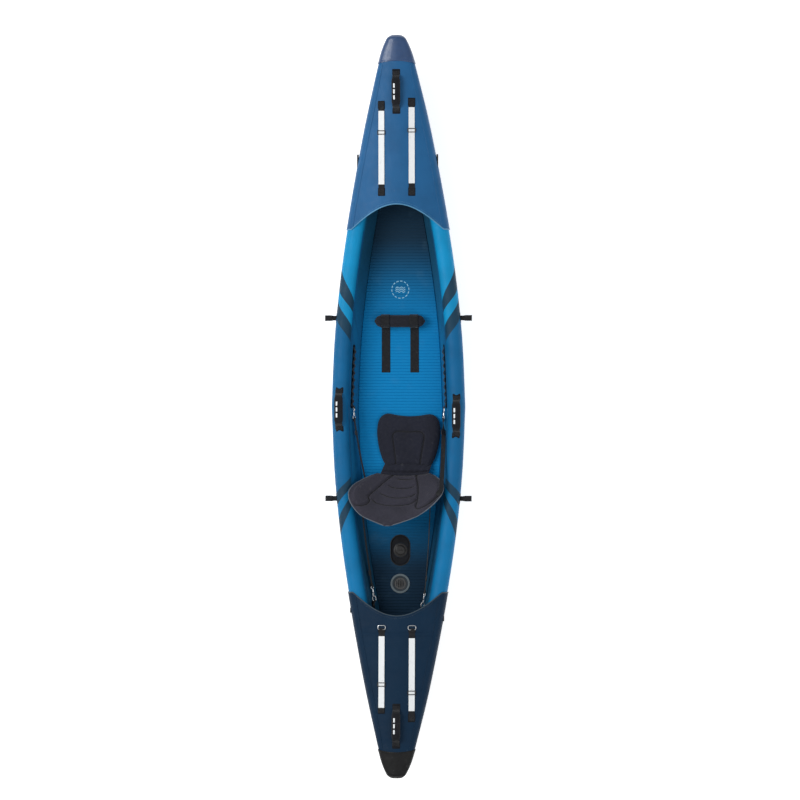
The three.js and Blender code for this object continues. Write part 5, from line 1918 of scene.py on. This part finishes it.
def valve_spring(label, place):
    """The coil under a valve's pin, drawn at its rest length; the real one shortens as the pin goes in."""
    end = 2 * math.pi * SPRING_TURNS
    coil = []
    for a in spread(0, end, 24 * SPRING_TURNS):
        z = lerp(SPRING_FOOT, SPRING_TOP, a / end)
        coil.append(place @ Vector((SPRING_RADIUS * math.cos(a), SPRING_RADIUS * math.sin(a), z)))
    spring = Shape().tube(coil, 0.0006, 6).make(f"{label}_valve_spring", NICKEL, body=None)
    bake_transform(spring)


def valve_window():
    """A black oval of painted shade under the floor valve, for the dark of the deep window, and the moulded
    rim round the pad's window.
    """
    rings = []
    under, top = 0.0001, 0.0010
    for share, lift in ((1, under), (1, 0.0007), (0.98, top), (0.5, top), (0, top), (0, under)):
        ring = []
        for x, y in stadium(WINDOW_WIDTH - 0.004, WINDOW_LENGTH - 0.004, 20):
            edge = Vector((x, y))
            p = (edge.normalized() * VALVE_CLEAR).lerp(edge, share)
            ring.append((p.x, FLOOR_VALVE_Y + p.y, floor_top(FLOOR_VALVE_Y + p.y) + lift))
        rings.append(ring)
    # Painted shade: a black sheet on the floor chamber, where the window is dark only with shade.
    Shape().rings(rings, closed=True).make("floor_valve_shade_oval", PATCH, crease=60)
    rim = [Vector((x, FLOOR_VALVE_Y + y, pad_top(FLOOR_VALVE_Y + y) - 0.0004)) for x, y in
           stadium(WINDOW_WIDTH + 0.001, WINDOW_LENGTH + 0.001, 24)]
    Shape().tube(rim, 0.0026, 8, closed=True).make("floor_valve_rim", RUBBER)


def drain(place):
    """A screwed flange with a slotted strainer, and the plug below it."""
    flange = Shape().lathe([
        (0.021, -0.1044), (0.025, -0.1044), (0.025, -0.0076), (0.0366, -0.0076), (0.0366, 0.0004),
        (0.0575, 0.0004), (0.0570, 0.0010), (0.0560, 0.0014), (0.0445, 0.0016), (0.0435, 0.0026),
        (0.0380, 0.0028), (0.0362, 0.0024), (0.0355, 0.0018), (0.0355, -0.0035), (0.021, -0.0035)], 72, place)
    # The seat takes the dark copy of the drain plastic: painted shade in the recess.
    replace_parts(flange.make("drain_seat", DRAIN_SEAT_SHADE, crease=30), "drain_flange")
    ring = Shape().lathe([
        (0.0455, 0.0015), (0.0455, 0.0034), (0.0465, 0.0040), (0.0555, 0.0038), (0.0570, 0.0028),
        (0.0572, 0.0012), (0.0455, 0.0015)], 72, place)
    ring.make("drain_ring", DRAIN_GREY, crease=30)
    screws = Shape()
    for x, y in circle(0.0510, 6):
        at = place @ Matrix.Translation((x, y, 0.0037))
        screws.lathe([(0.0, 0.0), (0.0032, 0.0), (0.0032, 0.0005), (0.0022, 0.0011), (0.0, 0.0013)], 18, at)
    screws.make("drain_screws", DRAIN_GREY, crease=30)
    disc = Shape().lathe([
        (0.0, -0.0031), (0.0340, -0.0031), (0.0340, -0.0004), (0.0332, 0.0004), (0.0, 0.0010)], 64, place)
    disc = disc.make("drain_strainer_disc", STRAINER_GREY, crease=30)
    slots = []
    slotted = 0.027
    for x in spread(-0.0200, 0.0200, 4):
        length = 2 * math.sqrt(slotted ** 2 - x ** 2)
        slots.append(prism(moved(stadium(0.005, length, 8), x, 0), -0.01, 0.01, place))
    cut(disc, *slots)
    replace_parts(disc, "drain_strainer")
    plug = Shape().lathe([
        (0.0, -0.0780), (0.0190, -0.0780), (0.0204, -0.0792), (0.0204, -0.0850), (0.0196, -0.0856),
        (0.0196, -0.0880), (0.0204, -0.0886), (0.0204, -0.0985), (0.0194, -0.1000), (0.0100, -0.1000),
        (0.0090, -0.0990), (0.0090, -0.0900), (0.0, -0.0900)], 48, place)
    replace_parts(plug.make("drain_bung", RUBBER, body="drain_stopper", crease=30), "drain_plug")


def fin_box():
    """A slotted fin box on a welded flange under the stern."""
    place = on_centreline(-1.490, keel, -0.002)
    body = Shape().block(rounded(0.046, 0.200, 0.008), -0.018, 0.0, 0.0015, place)
    body = body.make("fin_box_body", BLACK_PLASTIC, crease=30)
    cut(body, prism(rounded(0.009, 0.160, 0.002), -0.04, -0.003, place))
    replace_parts(body, "fin_box")


valve("floor", on_centreline(FLOOR_VALVE_Y, floor_top))
for side_name, side_sign in SIDES:
    valve(side_name, side_valve_frame(side_sign))
valve_window()
drain(on_centreline(DRAIN_Y, pad_top, 0.0006))
fin_box()

# ---- Arch rods, hems, seams and tabs -------------------------------------------------------------

WELT_SHARE = 0.78
STRAKE_END = 1.970


def arch(end, hem_highlight_cloth):
    """The bent rod under a deck's cockpit edge, with its end caps, and the edge's bound and sewn hem."""
    name = end["name"]
    limit = half_beam(end["crest"] - end["drop"] / 2) - CHAMBER - 0.014
    path = []
    for x in spread(-limit, limit, 60):
        y = end["sign"] * (arch_y(x, end) + 0.009)
        path.append(Vector((x, y, deck_height(x, y, end) - 0.009)))
    rod = Shape().tube(path, 0.005, 16)
    for tip, inward in ((path[0], path[1]), (path[-1], path[-2])):
        step = (inward - tip).normalized()
        cap = [tip + step * t for t in (-0.0005, 0.0, 0.012, 0.0135)]
        rod.tube(cap, [0.0045, 0.0058, 0.0058, 0.0051], 16)
    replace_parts(rod.make(f"{name}_arch_bar", ROD_GREY, crease=40), f"{name}_arch_rod")
    bound = [deck_point(share, end["sign"] * edge_reach(share, end), end, DECK_THICKNESS * 0.6)
             for share in spread(-0.985, 0.985, 120)]
    # The hem and its stitching take the deck's lighter copy: a painted highlight along the rolled edge.
    hem = Shape().tube(bound, 0.0036, 10).make(f"{name}_deck_hem", hem_highlight_cloth)
    rows = [[deck_point(share, end["sign"] * (edge_reach(share, end) + gap), end, DECK_THICKNESS + 0.0004)
             for share in spread(-WELT_SHARE, WELT_SHARE, 90)] for gap in (0.012, 0.016)]
    stitches(f"{name}_hem_stitching", rows, material=hem_highlight_cloth)
    return hem


def deck_welts(end, cloth):
    """A raised seam along each side of a deck, where it folds down over the chamber."""
    welts = []
    for label, side in SIDES:
        share = side * WELT_SHARE
        start = edge_reach(share, end) + 0.004
        path = [deck_point(share, end["sign"] * y, end, DECK_THICKNESS) for y in spread(start, 1.975, 120)]
        welts.append(Shape().tube(path, 0.0024, 8).make(f"{end['name']}_deck_{label}_welt", cloth))
    return welts


def cross_seam(end, y, cloth):
    """A taped seam across a deck."""
    top = deck_top(end)
    reach = 0.96 * DeckLine(end["sign"] * y, end).leave_x
    path = [top(x, end["sign"] * y, 0.0014) for x in spread(-reach, reach, 60)]
    return ribbon(f"{end['name']}_deck_cross_seam", path, (0, 1, 0), 0.020, 0.0012, cloth)


def strip(name, material, side, stations, girth, width, thickness):
    """A welded strip along a side chamber, its middle at a girth that may change with the station."""
    under = -0.0001
    profile = [(-0.5, under), (-0.5, 0.6), (-0.46, 1.0), (0, 1.0), (0.46, 1.0), (0.5, 0.6), (0.5, under)]
    rings = []
    for y in stations:
        s = Section(y)
        middle = girth(s)
        ring = []
        for share, lift in profile:
            out, z = s.at(middle + share * width, lift * thickness)
            ring.append((side * out, y, z))
        rings.append(ring)
    loft(name, rings, material, vs=stations, crease=50)


def hull_strips(name, side):
    """Seam tape along the inner wall's top, and a strake and a seam round the outer bottom edge."""
    strip(f"{name}_inner_seam", TAPE, side, spread(-1.06, 1.02, 110), lambda s: -0.006, 0.022, 0.0006)
    whole = spread(-STRAKE_END, STRAKE_END, 160)
    strip(f"{name}_strake", PATCH, side, whole, lambda s: s.wall + 1.2 * s.arc, 0.034, 0.0016)
    strip(f"{name}_bottom_seam", PATCH, side, whole, lambda s: s.wall + 1.55 * s.arc, 0.020, 0.0008)


def edge_tab(name, side, y, length):
    """A small folded tab of webbing on the outer shoulder."""
    s = Section(y)
    x, z = s.at(s.arc * 0.86, 0.0006)
    normal = Vector((side * math.sin(1.15), 0, math.cos(1.15)))
    base = Vector((side * x, y, z))
    path = [base + normal * out + Vector((0, 0, rise)) for out, rise in
            ((-0.001, 0.0022), (0.006, 0.0024), (0.0095, 0.0), (0.006, -0.0024), (-0.001, -0.0022))]
    ribbon(name, smooth_path(path, 0.0012), (0, 1, 0), length, 0.0015, BLACK_WEB)


def declare_deck(end, on_it):
    """A deck is one sheet of coated cloth; this measures how wide it is round the hull at the arch's feet,
    and does nothing with the width.
    """
    foot = end["crest"] - end["drop"]
    across = [deck_point(share, end["sign"] * foot, end, 0) for share in spread(-1, 1, 60)]
    width = sum((b - a).length for a, b in zip(across, across[1:]))


declare_deck(BOW, [arch(BOW, BOW_HEM_HIGHLIGHT), *deck_welts(BOW, BOW_CLOTH_LIT)])
declare_deck(STERN, [arch(STERN, STERN_HEM_HIGHLIGHT), *deck_welts(STERN, STERN_CLOTH_SHADED),
                     cross_seam(STERN, 1.318, STERN_CLOTH_SHADED)])
for side_name, side_sign in SIDES:
    hull_strips(side_name, side_sign)
edge_tab("port_stern_tab", -1, -1.184, 0.030)
edge_tab("starboard_stern_tab", 1, -1.231, 0.030)
edge_tab("port_bow_tab", -1, 1.415, 0.098)
edge_tab("starboard_bow_tab", 1, 1.415, 0.098)


def studio_floor():
    """A wide pale floor that glows a little, so it shows white with hardly a shadow."""
    paint = Paint("studio_floor", "floor_fabric", Specular_IOR_Level=0.0, Emission_Strength=0.62,
                  Emission_Color=(1, 1, 1, 1))
    cloud = paint.ramp(paint.noise(2, 2), 0.3, 0.7, 0, 0.05)
    tone = paint.mix(cloud, rgb(246, 246, 246), rgb(240, 241, 242))
    mesh = bpy.data.meshes.new("studio_floor")
    reach = 30
    square = [(-reach, -reach, 0), (reach, -reach, 0), (reach, reach, 0), (-reach, reach, 0)]
    mesh.from_pydata(square, [], [(0, 1, 2, 3)])
    mesh.materials.append(paint.finish(tone, 0.9))
    floor = add_object("studio_floor", mesh)
    floor.location.z = -0.001
    floor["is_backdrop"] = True


studio_floor()
corners = {"cad": cad_box, "visual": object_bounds()}
{name: [list(corner) for corner in box] for name, box in corners.items()}
